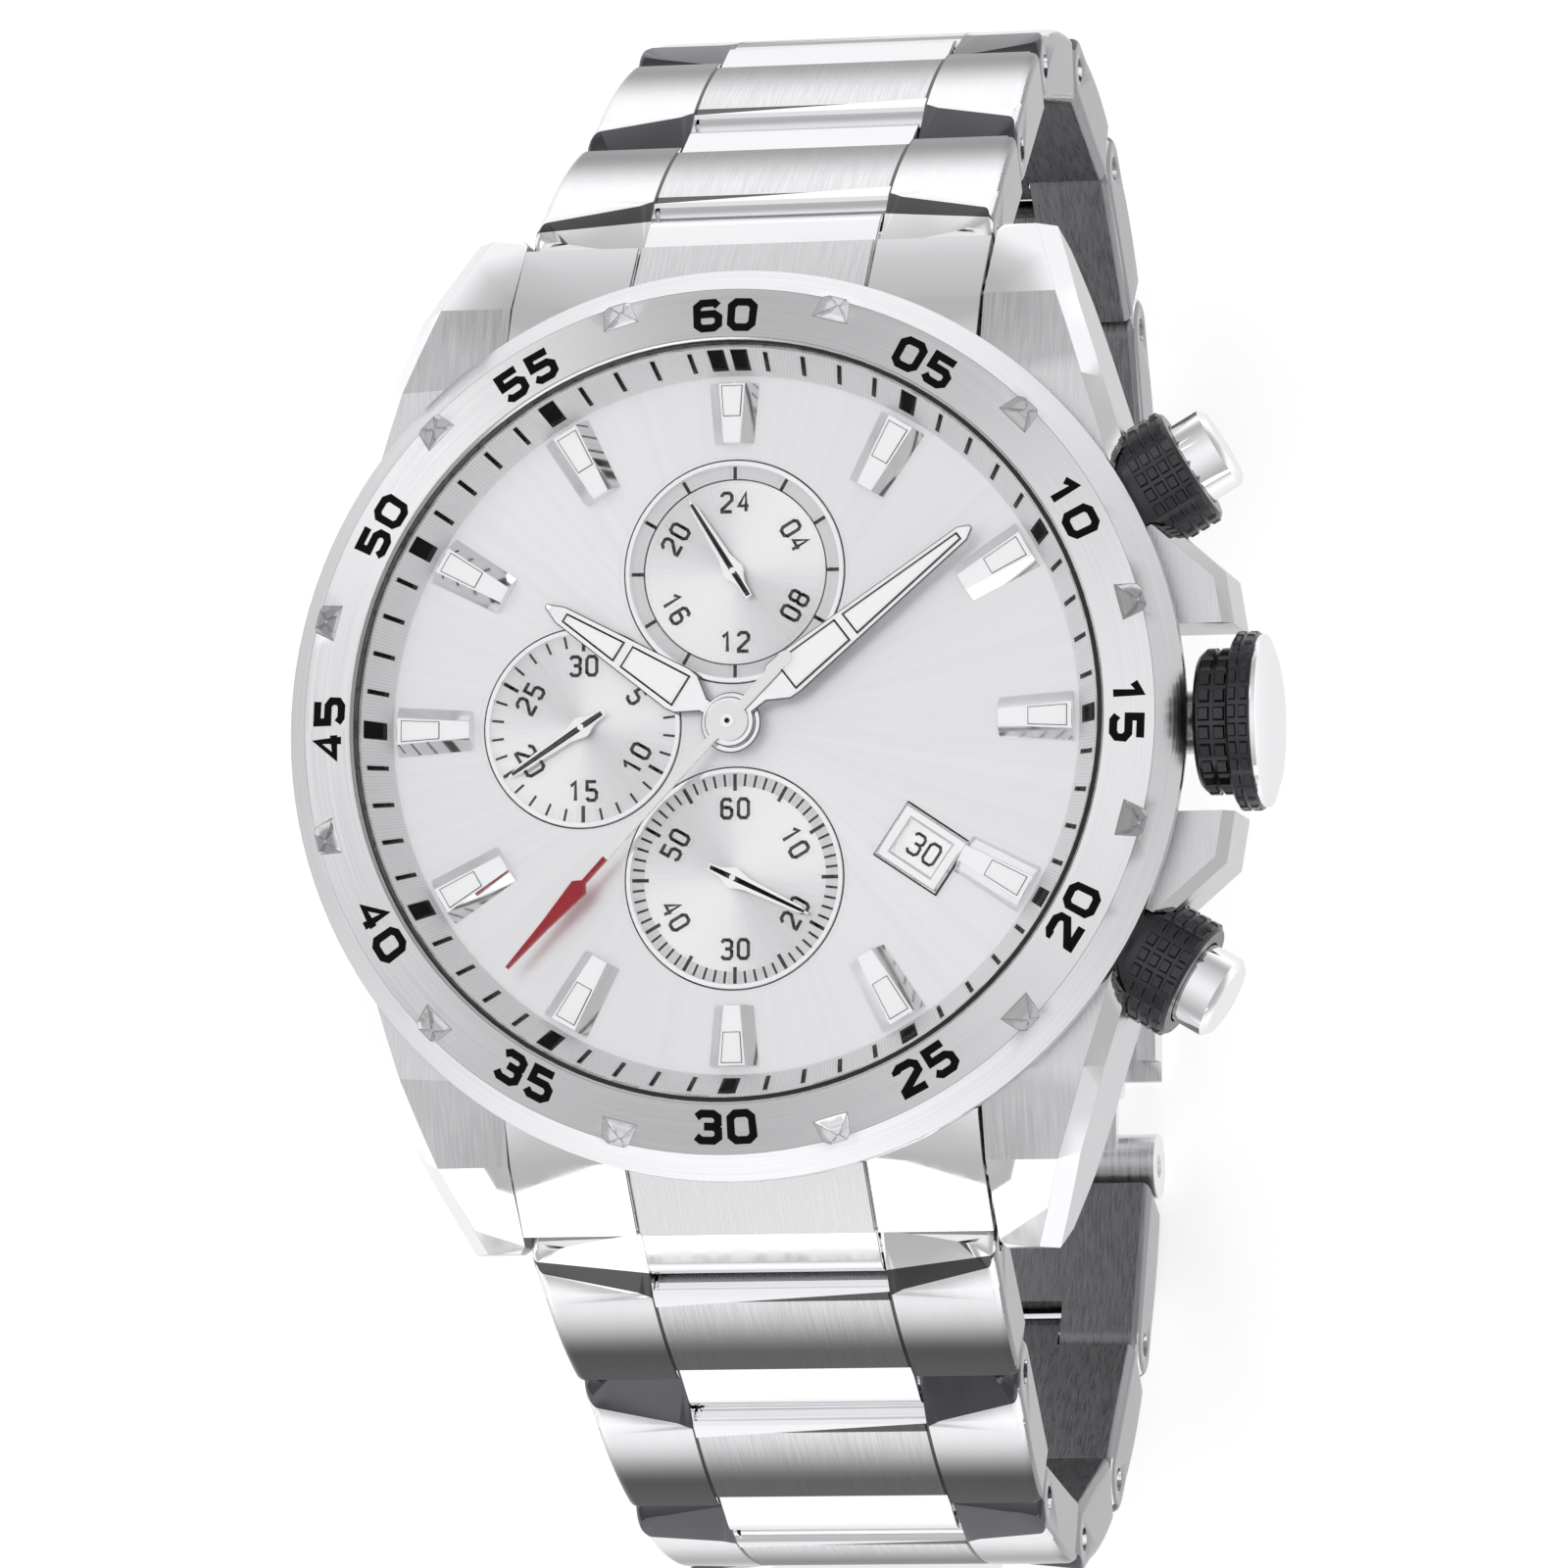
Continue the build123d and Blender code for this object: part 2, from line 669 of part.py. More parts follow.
def outer_blocks(plane, near_w, far_w):
    """The two outer pieces of a link, knuckled about its near pivot."""
    blocks = []
    for hand_side in (1, -1):
        across = Plane(origin=plane.origin, x_dir=plane.x_dir, z_dir=plane.y_dir)
        inner = plane.offset(hand_side * CENTRE_W / 2)
        with BuildPart() as block:
            with BuildSketch(inner):
                Circle(LINK_R)
                with BuildLine():
                    ThreePointArc(*CROWN)
                    Polyline(
                        CROWN[2], (LINK_LENGTH, -LINK_R), (0, -LINK_R), (0, LINK_R), CROWN[0]
                    )
                make_face()
            extrude(amount=hand_side * LINK_WIDTHS[0])
            with BuildSketch(across):
                with BuildLine():
                    Polyline(
                        (-LINK_T, -near_w / 2), (LINK_PITCH, -far_w / 2), (LINK_PITCH, far_w / 2),
                        (-LINK_T, near_w / 2), close=True,
                    )
                make_face()
            extrude(amount=LINK_T, both=True, mode=Mode.INTERSECT)
            flank = block.faces().sort_by(Axis.X)[-1 if hand_side * plane.z_dir.X > 0 else 0]
            fillet(flank.edges(), radius=0.5)
            with BuildSketch(inner):
                with BuildLine():
                    run = (FACET_TOP[0] - FACET_FOOT[0], FACET_TOP[1] - FACET_FOOT[1])
                    Polyline(
                        (FACET_TOP[0] + run[0], FACET_TOP[1] + run[1]),
                        (FACET_FOOT[0] - run[0], FACET_FOOT[1] - run[1]),
                        (FACET_FOOT[0] - run[0], LINK_T), close=True,
                    )
                make_face()
            along, up, out = FACET_SLANT
            slant = plane.x_dir * along + plane.y_dir * up + plane.z_dir * out * hand_side
            extrude(amount=2 * slant.length, dir=slant, mode=Mode.SUBTRACT)
            with BuildSketch(plane):
                Circle(PIN_R)
            extrude(amount=LINK_WIDTHS[0], both=True, mode=Mode.SUBTRACT)
        blocks.append(block)
    return blocks


def centre_block(plane):
    """Brushed middle piece of a link, with the same crowned top."""
    near = BAR_R + LINK_GAP
    far = LINK_PITCH - BAR_BACK
    with BuildPart() as block:
        with BuildSketch(plane):
            with BuildLine():
                ThreePointArc(*CROWN)
                Polyline(CROWN[2], (LINK_LENGTH, -LINK_R), (near, -LINK_R), (near, CROWN[0][1]))
                Line((near, CROWN[0][1]), CROWN[0])
            make_face()
        extrude(amount=CENTRE_W / 2, both=True)
        with BuildSketch(plane):
            with Locations((far + LINK_T, 0)):
                Rectangle(2 * LINK_T, 3 * LINK_T)
        extrude(amount=CENTRE_W, both=True, mode=Mode.SUBTRACT)
        chamfer(block.edges().filter_by(Axis.X), length=0.15)
    return block


def make_link(number, side, name):
    plane = chain_plane(PIVOTS[number], LINK_SLOPES[number], side)
    near_w, far_w = LINK_WIDTHS[number], LINK_WIDTHS[number + 1]
    save(
        name,
        *outer_blocks(plane, near_w, far_w),
        centre_block(plane),
        centre_bar(plane, LINK_PITCH),
        cross_pin(plane, near_w / 2 - 0.25),
    )


def make_end_link(side, name):
    plane = chain_plane(FIRST_PIVOT, END_SLOPE, side)
    reach = LINK_R + LINK_GAP
    corners = [plane.from_local_coords((-reach, n, 0)) for n in (LINK_R, -LINK_R)]
    top, bottom = [(side * corner.Y, corner.Z) for corner in corners]
    rim = [(16, 7.35), (18.6, 7.1), (LUG_BEND_Y, 6.05), top]
    with BuildPart() as body:
        with BuildSketch(Plane.YZ):
            with BuildLine():
                Polyline(*rim, bottom, (16, 1.3), close=True)
            make_face()
            if side < 0:
                mirror(about=Plane.YZ, mode=Mode.REPLACE)
        extrude(amount=LUG_GAP / 2 - 0.1, both=True)
        with BuildSketch(Plane.XY):
            Circle(CASE_R + 0.05)
        extrude(amount=10, mode=Mode.SUBTRACT)
        with BuildSketch(Plane.YZ):
            with Locations((side * SPRING_BAR[0], SPRING_BAR[1])):
                Circle(0.75)
        extrude(amount=LUG_GAP, both=True, mode=Mode.SUBTRACT)
        for seam in (CENTRE_W / 2, -CENTRE_W / 2):
            with BuildSketch(Plane.YZ.offset(seam)):
                with BuildLine():
                    above = [(side * y, z + SEAM_DEPTH) for y, z in rim]
                    below = [(side * y, z - SEAM_DEPTH) for y, z in reversed(rim)]
                    Polyline(*above, *below, close=True)
                make_face()
            extrude(amount=SEAM_W / 2, both=True, mode=Mode.SUBTRACT)
    with BuildPart() as bar:
        with BuildSketch(plane):
            Circle(BAR_R)
            with Locations((-reach / 2, 0)):
                Rectangle(reach, 2 * BAR_R)
            Circle(PIN_R + PIN_GAP, mode=Mode.SUBTRACT)
        extrude(amount=CENTRE_W / 2 - BAR_SIDE_GAP, both=True)
    save(name, body, bar)


def make_spring_bars():
    with BuildPart() as bars:
        for end in (1, -1):
            with BuildSketch(Plane.YZ):
                with Locations((end * SPRING_BAR[0], SPRING_BAR[1])):
                    Circle(0.75)
            extrude(amount=LUG_GAP / 2 - 0.1, both=True)
            with BuildSketch(Plane.YZ):
                with Locations((end * SPRING_BAR[0], SPRING_BAR[1])):
                    Circle(0.4)
            extrude(amount=12.9, both=True)
    save("spring_bars", bars)


# ---------------------------------------------------------------- clasp


def clasp_plane(centre=(0, 0), x=0):
    """Plane along the clasp at (y, height above its first pivot), facing the crown."""
    return Plane(origin=(x, centre[0], CLASP_Z + centre[1]), x_dir=(0, 1, 0), z_dir=(1, 0, 0))


def slab(low, high, inner, outer):
    """Flat slab between two (y, height) corners, from one x to another."""
    middle = ((low[0] + high[0]) / 2, (low[1] + high[1]) / 2)
    with BuildPart() as made:
        with BuildSketch(clasp_plane(middle, inner)):
            Rectangle(high[0] - low[0], high[1] - low[1])
        extrude(amount=outer - inner)
    return made


def eyes(centre, radius, inner, outer):
    """A pair of hinge eyes at both sides, or one in the middle when inner is nought."""
    with BuildPart() as made:
        for start in (inner, -outer):
            with BuildSketch(clasp_plane(centre, start)):
                Circle(radius)
            extrude(amount=outer - inner)
    return made


def opening(centre, length, half_width):
    """Block to cut from a blade so that the other blade's eye can turn in it."""
    return slab((centre[0] - length, -3), (centre[0] + length, 3), -half_width, half_width)


def make_clasp():
    edge = CENTRE_W / 2
    hole = CLASP_HALF_W + 1
    wall = 1.0
    plate = -0.8
    seat = 0.75
    with BuildPart() as cover:
        add(slab((FOLD_B[0], -LINK_R), (CLASP_Y, plate), -CLASP_HALF_W, CLASP_HALF_W).part)
        for low_x in (-CLASP_HALF_W, CLASP_HALF_W - wall):
            add(slab((FOLD_B[0] + 1, -LINK_R), (CLASP_Y, 1.0), low_x, low_x + wall).part)
        add(eyes((CLASP_Y, 0), COVER_R, edge, CLASP_HALF_W).part)
        add(eyes(FOLD_B, FOLD_B_R, BLADE_SEAM, BLADE_HALF_W).part)
        eye_room = cross_pin(clasp_plane(FOLD_B), BLADE_SEAM, FOLD_B_R + LINK_GAP)
        add(eye_room.part, mode=Mode.SUBTRACT)
        add(opening((CLASP_Y, 0), BAR_R + 0.35, edge).part, mode=Mode.SUBTRACT)
        outer_edges = [
            e for e in cover.edges().filter_by(Axis.Y)
            if abs(e.center().Z - CLASP_Z + LINK_R) < 0.01 and abs(e.center().X) > CLASP_HALF_W - 0.1
        ]
        fillet(outer_edges, radius=0.6)
        add(cross_pin(clasp_plane(FOLD_B), hole, CLASP_PIN_R).part, mode=Mode.SUBTRACT)
    fold_b_pin = cross_pin(clasp_plane(FOLD_B), BLADE_HALF_W, CLASP_PIN_R)
    save("clasp_cover", cover, fold_b_pin)

    with BuildPart() as middle:
        low, high = (FOLD_B[0], -0.25), (FOLD_A[0], 0.4)
        add(slab(low, high, -BLADE_HALF_W, BLADE_HALF_W).part)
        for centre, radius in ((FOLD_A, FOLD_A_R), (FOLD_B, FOLD_B_R)):
            for near_x, far_x in ((BLADE_SEAM - 0.1, BLADE_HALF_W), (-BLADE_HALF_W, 0.1 - BLADE_SEAM)):
                reach = radius + 0.15
                corner = slab((centre[0] - reach, -3), (centre[0] + reach, 3), near_x, far_x)
                add(corner.part, mode=Mode.SUBTRACT)
            add(eyes(centre, radius, 0, BLADE_SEAM - 0.1).part)
            pin_hole = cross_pin(clasp_plane(centre), hole, CLASP_PIN_R + PIN_GAP)
            add(pin_hole.part, mode=Mode.SUBTRACT)
    save("clasp_middle_blade", middle)

    with BuildPart() as blade:
        add(slab((-CLASP_Y, seat), (FOLD_A[0], 1.5), -BLADE_HALF_W, BLADE_HALF_W).part)
        add(eyes((-CLASP_Y, 0), LINK_R, edge, CLASP_HALF_W).part)
        add(opening((-CLASP_Y, 0), BAR_R + LINK_GAP, edge).part, mode=Mode.SUBTRACT)
        add(opening(FOLD_A, FOLD_A_R + 0.15, BLADE_SEAM).part, mode=Mode.SUBTRACT)
        add(eyes(FOLD_A, FOLD_A_R, BLADE_SEAM, BLADE_HALF_W).part)
        add(cross_pin(clasp_plane(FOLD_A), hole, CLASP_PIN_R).part, mode=Mode.SUBTRACT)
        add(cross_pin(clasp_plane((-CLASP_Y, 0)), hole, PIN_R).part, mode=Mode.SUBTRACT)
    fold_a_pin = cross_pin(clasp_plane(FOLD_A), BLADE_HALF_W, CLASP_PIN_R)
    last_pin = cross_pin(clasp_plane((-CLASP_Y, 0)), CLASP_HALF_W - 0.25)
    save("clasp_end_blade", blade, fold_a_pin, last_pin)


def main():
    os.makedirs("parts", exist_ok=True)
    make_case_middle()
    make_case_back()
    make_bezel()
    make_crystal()
    make_dial()
    make_track_ring()
    make_indices()
    make_subdial_rings()
    make_date()
    make_centre_hands()
    make_centre_wheels()
    make_sub_hands()
    make_movement()
    make_crown()
    make_pushers()
    make_end_link(1, "end_link_upper")
    make_end_link(-1, "end_link_lower")
    make_spring_bars()
    for number in range(len(LINK_SLOPES)):
        make_link(number, 1, f"upper_link_{number + 1}")
        make_link(number, -1, f"lower_link_{number + 1}")
    make_clasp()
    print("pivots", [(round(y, 3), round(z, 3)) for y, z in PIVOTS])


main()
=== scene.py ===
"""Looks of the steel chronograph: metals, printed marks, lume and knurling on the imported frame.

Frame as in the CAD: origin under the case back, +Z to the crystal, +Y to 12 o'clock, +X to the crown.
Lengths in this file are millimetres until a mesh is made.
"""

import json
from math import cos, hypot, pi, radians, sin

import bpy
from mathutils import Matrix, Vector


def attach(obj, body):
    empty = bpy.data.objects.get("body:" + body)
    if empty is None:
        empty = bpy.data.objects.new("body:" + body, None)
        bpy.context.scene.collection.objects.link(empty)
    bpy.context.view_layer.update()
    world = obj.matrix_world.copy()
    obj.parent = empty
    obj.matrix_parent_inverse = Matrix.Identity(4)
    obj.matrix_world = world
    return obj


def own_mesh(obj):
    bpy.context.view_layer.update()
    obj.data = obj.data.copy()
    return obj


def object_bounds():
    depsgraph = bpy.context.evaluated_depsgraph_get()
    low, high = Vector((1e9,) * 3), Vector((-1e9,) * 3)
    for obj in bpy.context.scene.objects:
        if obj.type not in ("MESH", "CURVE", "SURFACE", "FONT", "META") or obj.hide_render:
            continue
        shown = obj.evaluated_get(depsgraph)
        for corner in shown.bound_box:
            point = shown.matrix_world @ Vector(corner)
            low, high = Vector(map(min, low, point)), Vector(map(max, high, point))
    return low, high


MM = 0.001

# Heights of the faces that carry marks
DIAL_Z = 8.4
SUBDIAL_Z = 8.25
DATE_DISC_Z = 7.95
INDEX_TOP = 9.0
SUB_HAND_TOP = 8.8
CENTRE_PIN_TOP = 10.05
WHEEL_STEEL_Z = 7.8
CROWN_Z = 4.5
PRINT = 0.02

# Centre and radius of each subdial
SUBDIALS = {"day": (0, 7.3, 5.3), "seconds": (0, -7.35, 5.25), "minutes": (-7.4, 0, 4.75)}

# Clock angle in degrees, then the hand's top face or the radius where the lacquer starts
HOUR = (302.8, 9.25)
MINUTE = (52.4, 9.62)
CHRONO_DART = (222.9, 8.73)
DATE_CLOCK = 124
DATE_R = 10.95

# Radius and height at the inner and outer edge of each slope
BEZEL_CONE = ((18.25, 10.75), (20.6, 10.25))
TRACK_SLOPE = ((16.7, 8.6), (17.8, 10.3))

# Links: centre piece's half width and span along the link, painted shade lines at the seams, and the first
# links' end facets with painted shade
CENTRE_HALF_W = 5.8
CENTRE_SPAN = (2.1, 7.95)
SEAM_HALF_W = 0.09
SEAM_SHADE = 0.85
END_SHADE_LINE = 0.22
FACET_LEAN = 0.234
FACET_START = 0.6

# Y and Z of the bar in each end link, and how far round it the steel is polished
END_BAR = (24.1, 0.8, 1.95)

STEEL = (0.88, 0.88, 0.89)
CASE_STEEL = (0.73, 0.73, 0.74)
POLISH = (0.95, 0.95, 0.96)

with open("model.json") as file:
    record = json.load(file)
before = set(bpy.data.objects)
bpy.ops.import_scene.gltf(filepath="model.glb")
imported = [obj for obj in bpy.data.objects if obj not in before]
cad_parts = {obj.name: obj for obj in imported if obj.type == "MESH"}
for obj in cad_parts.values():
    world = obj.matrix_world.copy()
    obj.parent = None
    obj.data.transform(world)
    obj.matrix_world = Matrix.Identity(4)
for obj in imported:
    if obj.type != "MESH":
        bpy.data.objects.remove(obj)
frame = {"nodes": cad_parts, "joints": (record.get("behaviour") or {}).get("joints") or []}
nodes = frame["nodes"]
cad_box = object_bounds()


# ---------------------------------------------------------------- camera, floor and light


def make_camera():
    turn, tilt = radians(12.33), radians(6.33)
    back = Vector((sin(turn) * cos(tilt), -sin(tilt), cos(turn) * cos(tilt)))
    right = Vector((cos(turn), 0, -sin(turn)))
    up = back.cross(right)
    shift_right, shift_down, distance = 2.35, 2.83, 498
    target = Vector((0, 0, DIAL_Z)) + shift_right * right - shift_down * up
    data = bpy.data.cameras.new("camera")
    data.sensor_width = 36
    data.lens = 241.0
    data.clip_start, data.clip_end = 0.01, 20
    camera = bpy.data.objects.new("camera", data)
    camera.location = (target + distance * back) * MM
    camera.rotation_mode = "QUATERNION"
    camera.rotation_quaternion = Matrix((right, up, back)).transposed().to_quaternion()
    bpy.context.scene.collection.objects.link(camera)
    bpy.context.scene.camera = camera


def area_light(name, place, aim, size, power):
    data = bpy.data.lights.new(name, "AREA")
    data.shape = "RECTANGLE"
    data.size, data.size_y = size
    data.energy = power
    light = bpy.data.objects.new(name, data)
    light.location = place
    light.rotation_mode = "QUATERNION"
    light.rotation_quaternion = (Vector(aim) - Vector(place)).to_track_quat("-Z", "Y")
    bpy.context.scene.collection.objects.link(light)


def make_studio():
    world = bpy.data.worlds.new("studio")
    bpy.context.scene.world = world
    world.use_nodes = True
    tree = world.node_tree
    background = tree.nodes["Background"]
    place = tree.nodes.new("ShaderNodeTexCoord")
    split = tree.nodes.new("ShaderNodeSeparateXYZ")
    spread = tree.nodes.new("ShaderNodeMapRange")
    ramp = tree.nodes.new("ShaderNodeValToRGB")
    spread.inputs["From Min"].default_value = -1
    tree.links.new(place.outputs["Generated"], split.inputs[0])
    tree.links.new(split.outputs["Z"], spread.inputs["Value"])
    tree.links.new(spread.outputs["Result"], ramp.inputs[0])
    tree.links.new(ramp.outputs["Color"], background.inputs["Color"])
    # Share of the way from straight down to straight up, and the brightness there
    stops = [
        (0.0, 0.85), (0.2, 0.95), (0.36, 1.10), (0.45, 0.95), (0.52, 0.62), (0.60, 0.48),
        (0.70, 0.48), (0.82, 0.60), (0.93, 0.76), (1.0, 0.95),
    ]
    elements = ramp.color_ramp.elements
    while len(elements) < len(stops):
        elements.new(0.5)
    for element, (at, grey) in zip(elements, stops):
        element.position = at
        element.color = (grey, grey, grey * 1.01, 1)
    area_light("key", (-0.42, 0.38, 0.55), (0, 0, 0), (0.3, 0.3), 0.25)
    area_light("left", (-0.7, -0.1, 0.2), (0, 0, 0), (0.2, 0.6), 0.35)
    area_light("front", (0.1, -0.75, 0.2), (0, 0, 0), (0.7, 0.2), 0.35)

    mesh = bpy.data.meshes.new("floor")
    low = cad_box[0].z - 0.0003
    reach = 1.2
    corners = [(-reach, -reach, low), (reach, -reach, low), (reach, reach, low), (-reach, reach, low)]
    mesh.from_pydata(corners, [], [(0, 1, 2, 3)])
    floor = bpy.data.objects.new("floor", mesh)
    bpy.context.scene.collection.objects.link(floor)
    mesh.materials.append(plain("floor_white", (0.93, 0.93, 0.94), 0.6, glow=0.5))
    floor.visible_glossy = False


# ---------------------------------------------------------------- node helpers


class Shader:
    """A Principled material with its node tree at hand."""

    def __init__(self, name, colour, roughness, metallic=0.0):
        self.mat = bpy.data.materials.new(name)
        self.mat.use_nodes = True
        self.tree = self.mat.node_tree
        self.out = self.tree.nodes["Principled BSDF"]
        self.out.inputs["Base Color"].default_value = (*colour, 1)
        self.out.inputs["Roughness"].default_value = roughness
        self.out.inputs["Metallic"].default_value = metallic

    def add(self, kind, **settings):
        made = self.tree.nodes.new("ShaderNode" + kind)
        for key, value in settings.items():
            setattr(made, key, value)
        return made

    def wire(self, source, target):
        self.tree.links.new(source, target)

    def math(self, operation, a, b=None):
        made = self.add("Math", operation=operation)
        for socket, value in zip(made.inputs, (a, b)):
            if value is None:
                continue
            if isinstance(value, (int, float)):
                socket.default_value = value
            else:
                self.wire(value, socket)
        return made.outputs[0]

    def vector(self, operation, a, b):
        made = self.add("VectorMath", operation=operation)
        for socket, value in zip(made.inputs, (a, b)):
            if isinstance(value, (tuple, Vector)):
                socket.default_value = value
            else:
                self.wire(value, socket)
        return made

    def position(self):
        return self.add("TexCoord").outputs["Object"]

    def scaled(self, scale):
        """Object position in millimetres, stretched by a factor along each axis."""
        return self.vector("MULTIPLY", self.position(), tuple(1000 * s for s in scale)).outputs[0]

    def noise(self, coordinates, detail=2.0):
        made = self.add("TexNoise")
        made.inputs["Scale"].default_value = 1.0
        made.inputs["Detail"].default_value = detail
        self.wire(coordinates, made.inputs["Vector"])
        return made.outputs["Fac"]

    def remap(self, value, low, high):
        """Spreads noise, which mostly lies near its middle, over a range."""
        made = self.add("MapRange")
        made.inputs["From Min"].default_value = 0.3
        made.inputs["From Max"].default_value = 0.7
        made.inputs["To Min"].default_value = low
        made.inputs["To Max"].default_value = high
        self.wire(value, made.inputs["Value"])
        return made.outputs["Result"]

    def grey(self, value, tint=(1, 1, 1)):
        """Base colour from one brightness value."""
        made = self.add("CombineColor")
        for socket, share in zip(made.inputs, tint):
            self.wire(self.math("MULTIPLY", value, share), socket)
        self.wire(made.outputs[0], self.out.inputs["Base Color"])

    def blend(self, factor, first, second):
        """Base colour that is the first colour at factor 0 and the second at factor 1."""
        mix = self.add("Mix", data_type="RGBA")
        self.wire(factor, mix.inputs["Factor"])
        mix.inputs[6].default_value = (*first, 1)
        mix.inputs[7].default_value = (*second, 1)
        self.wire(mix.outputs[2], self.out.inputs["Base Color"])

    def swept(self, operation, angle, amount):
        """Painted light and shade: brightness that swings twice round the circle."""
        wave = self.math(operation, self.math("MULTIPLY", angle, 2.0))
        return self.math("ADD", self.math("MULTIPLY", wave, amount), 1.0)

    def bump(self, height, distance, strength=1.0):
        made = self.add("Bump")
        made.inputs["Distance"].default_value = distance * MM
        made.inputs["Strength"].default_value = strength
        self.wire(height, made.inputs["Height"])
        self.wire(made.outputs[0], self.out.inputs["Normal"])

    def rough(self, value, low, high):
        self.wire(self.remap(value, low, high), self.out.inputs["Roughness"])

    def polar(self, centre=(0, 0)):
        """Distance in millimetres, angle in radians and flat offset from a vertical axis."""
        moved = self.vector("SUBTRACT", self.position(), (centre[0] * MM, centre[1] * MM, 0)).outputs[0]
        split = self.add("SeparateXYZ")
        self.wire(moved, split.inputs[0])
        flat = self.add("CombineXYZ")
        self.wire(split.outputs[0], flat.inputs[0])
        self.wire(split.outputs[1], flat.inputs[1])
        length = self.vector("LENGTH", flat.outputs[0], (0, 0, 0))
        distance = self.math("MULTIPLY", length.outputs["Value"], 1000)
        angle = self.math("ARCTAN2", split.outputs[1], split.outputs[0])
        return distance, angle, flat.outputs[0]


def plain(name, colour, roughness, metallic=0.0, grain=6.0, swing=0.05, shine=0.5, glow=0.0):
    """Matt or moulded finish with a slight unevenness."""
    made = Shader(name, colour, roughness, metallic)
    clouds = made.noise(made.scaled((grain, grain, grain)), 3.0)
    made.rough(clouds, roughness - swing, roughness + swing)
    made.bump(clouds, 0.01, 0.4)
    made.out.inputs["Specular IOR Level"].default_value = shine
    made.out.inputs["Emission Color"].default_value = (1, 1, 1, 1)
    made.out.inputs["Emission Strength"].default_value = glow
    return made.mat


def brushed(name, colour, roughness, grain, depth=0.006, swing=0.10):
    """Straight brushing. The grain is fine along the axes with a large factor."""
    made = Shader(name, colour, roughness, 1.0)
    lines = made.noise(made.scaled(grain), 4.0)
    made.rough(lines, roughness - 0.08, roughness + 0.08)
    made.grey(made.remap(lines, 1 - swing, 1 + swing), colour)
    made.bump(lines, depth)
    return made.mat


def polished(name, colour, roughness=0.06):
    """Mirror polish with faint wipe marks."""
    made = Shader(name, colour, roughness, 1.0)
    marks = made.noise(made.scaled((1.5, 0.5, 0.5)), 5.0)
    made.rough(marks, roughness - 0.025, roughness + 0.03)
    return made.mat


def crowned(name, colour, roughness, link, far_painted_shade, grain=None):
    """Finish of a crowned link: painted shade darkens it towards the far end, and painted shade lines darken
    the seams beside the centre piece.
    """
    made = Shader(name, colour, roughness, 1.0)
    pivot, way, painted_shade_span = link
    place = made.scaled((1, 1, 1))
    along = made.vector("DOT_PRODUCT", place, tuple(way)).outputs["Value"]
    shade = made.add("MapRange", interpolation_type="SMOOTHSTEP")
    made.wire(along, shade.inputs["Value"])
    shade.inputs["From Min"].default_value = pivot.dot(way) + painted_shade_span[0]
    shade.inputs["From Max"].default_value = pivot.dot(way) + painted_shade_span[1]
    shade.inputs["To Min"].default_value = 1.0
    shade.inputs["To Max"].default_value = far_painted_shade
    split = made.add("SeparateXYZ")
    made.wire(place, split.inputs[0])
    across = made.math("ABSOLUTE", split.outputs[0])
    # Painted shade lines where the centre piece meets the outer pieces, and across the near end of brushed
    # centre pieces
    off_seam = made.math("ABSOLUTE", made.math("SUBTRACT", across, CENTRE_HALF_W))
    seam_painted_shade = made.math("MULTIPLY", made.math("LESS_THAN", off_seam, SEAM_HALF_W), SEAM_SHADE)
    painted_tone = made.math("MULTIPLY", shade.outputs["Result"], made.math("SUBTRACT", 1.0, seam_painted_shade))
    if grain:
        near_end_painted_shade_mask = made.math("LESS_THAN", along, pivot.dot(way) + CENTRE_SPAN[0] + END_SHADE_LINE)
        near_line_painted_shade = made.math("MULTIPLY", near_end_painted_shade_mask, SEAM_SHADE)
        painted_tone = made.math("MULTIPLY", painted_tone, made.math("SUBTRACT", 1.0, near_line_painted_shade))
    lines = made.noise(made.scaled(grain or (1.5, 0.5, 0.5)), 4.0)
    swing = 0.12 if grain else 0.02
    made.grey(made.math("MULTIPLY", painted_tone, made.remap(lines, 1 - swing, 1 + swing)), colour)
    made.rough(lines, roughness - 0.03, roughness + 0.03)
    if grain:
        made.bump(lines, 0.006)
    return made.mat


def split_facet(name, painted_dark, light, link):
    """Slanted end facet of a first link, painted: dark shade above, and painted light where it dips behind
    the end link.
    """
    made = Shader(name, painted_dark, 0.12, 1.0)
    pivot, way, _ = link
    place = made.scaled((1, 1, 1))
    split = made.add("SeparateXYZ")
    made.wire(place, split.inputs[0])
    across = made.math("MULTIPLY", made.math("ABSOLUTE", split.outputs[0]), FACET_LEAN)
    along = made.math("ADD", made.vector("DOT_PRODUCT", place, tuple(way)).outputs["Value"], across)
    # Painted light below the line across the facet, painted shade above it
    low = made.math("LESS_THAN", along, pivot.dot(way) + FACET_START + FACET_LEAN * CENTRE_HALF_W)
    made.grey(made.math("ADD", made.math("MULTIPLY", low, light - painted_dark[0]), painted_dark[0]))
    return made.mat


def turned(name, colour, roughness, centre=(0, 0), rings=9.0, painted_light_sweep=0.0):
    """Circular brushing about a vertical axis, with painted light and shade swinging twice round it."""
    made = Shader(name, colour, roughness, 1.0)
    distance, angle, _ = made.polar(centre)
    place = made.add("CombineXYZ")
    made.wire(made.math("MULTIPLY", distance, rings), place.inputs[0])
    made.wire(made.math("MULTIPLY", angle, 1.5), place.inputs[1])
    lines = made.noise(place.outputs[0], 4.0)
    level = made.swept("COSINE", angle, painted_light_sweep)
    made.grey(made.math("MULTIPLY", made.remap(lines, 0.93, 1.05), level), colour)
    made.rough(lines, roughness - 0.06, roughness + 0.06)
    made.bump(lines, 0.004)
    return made.mat


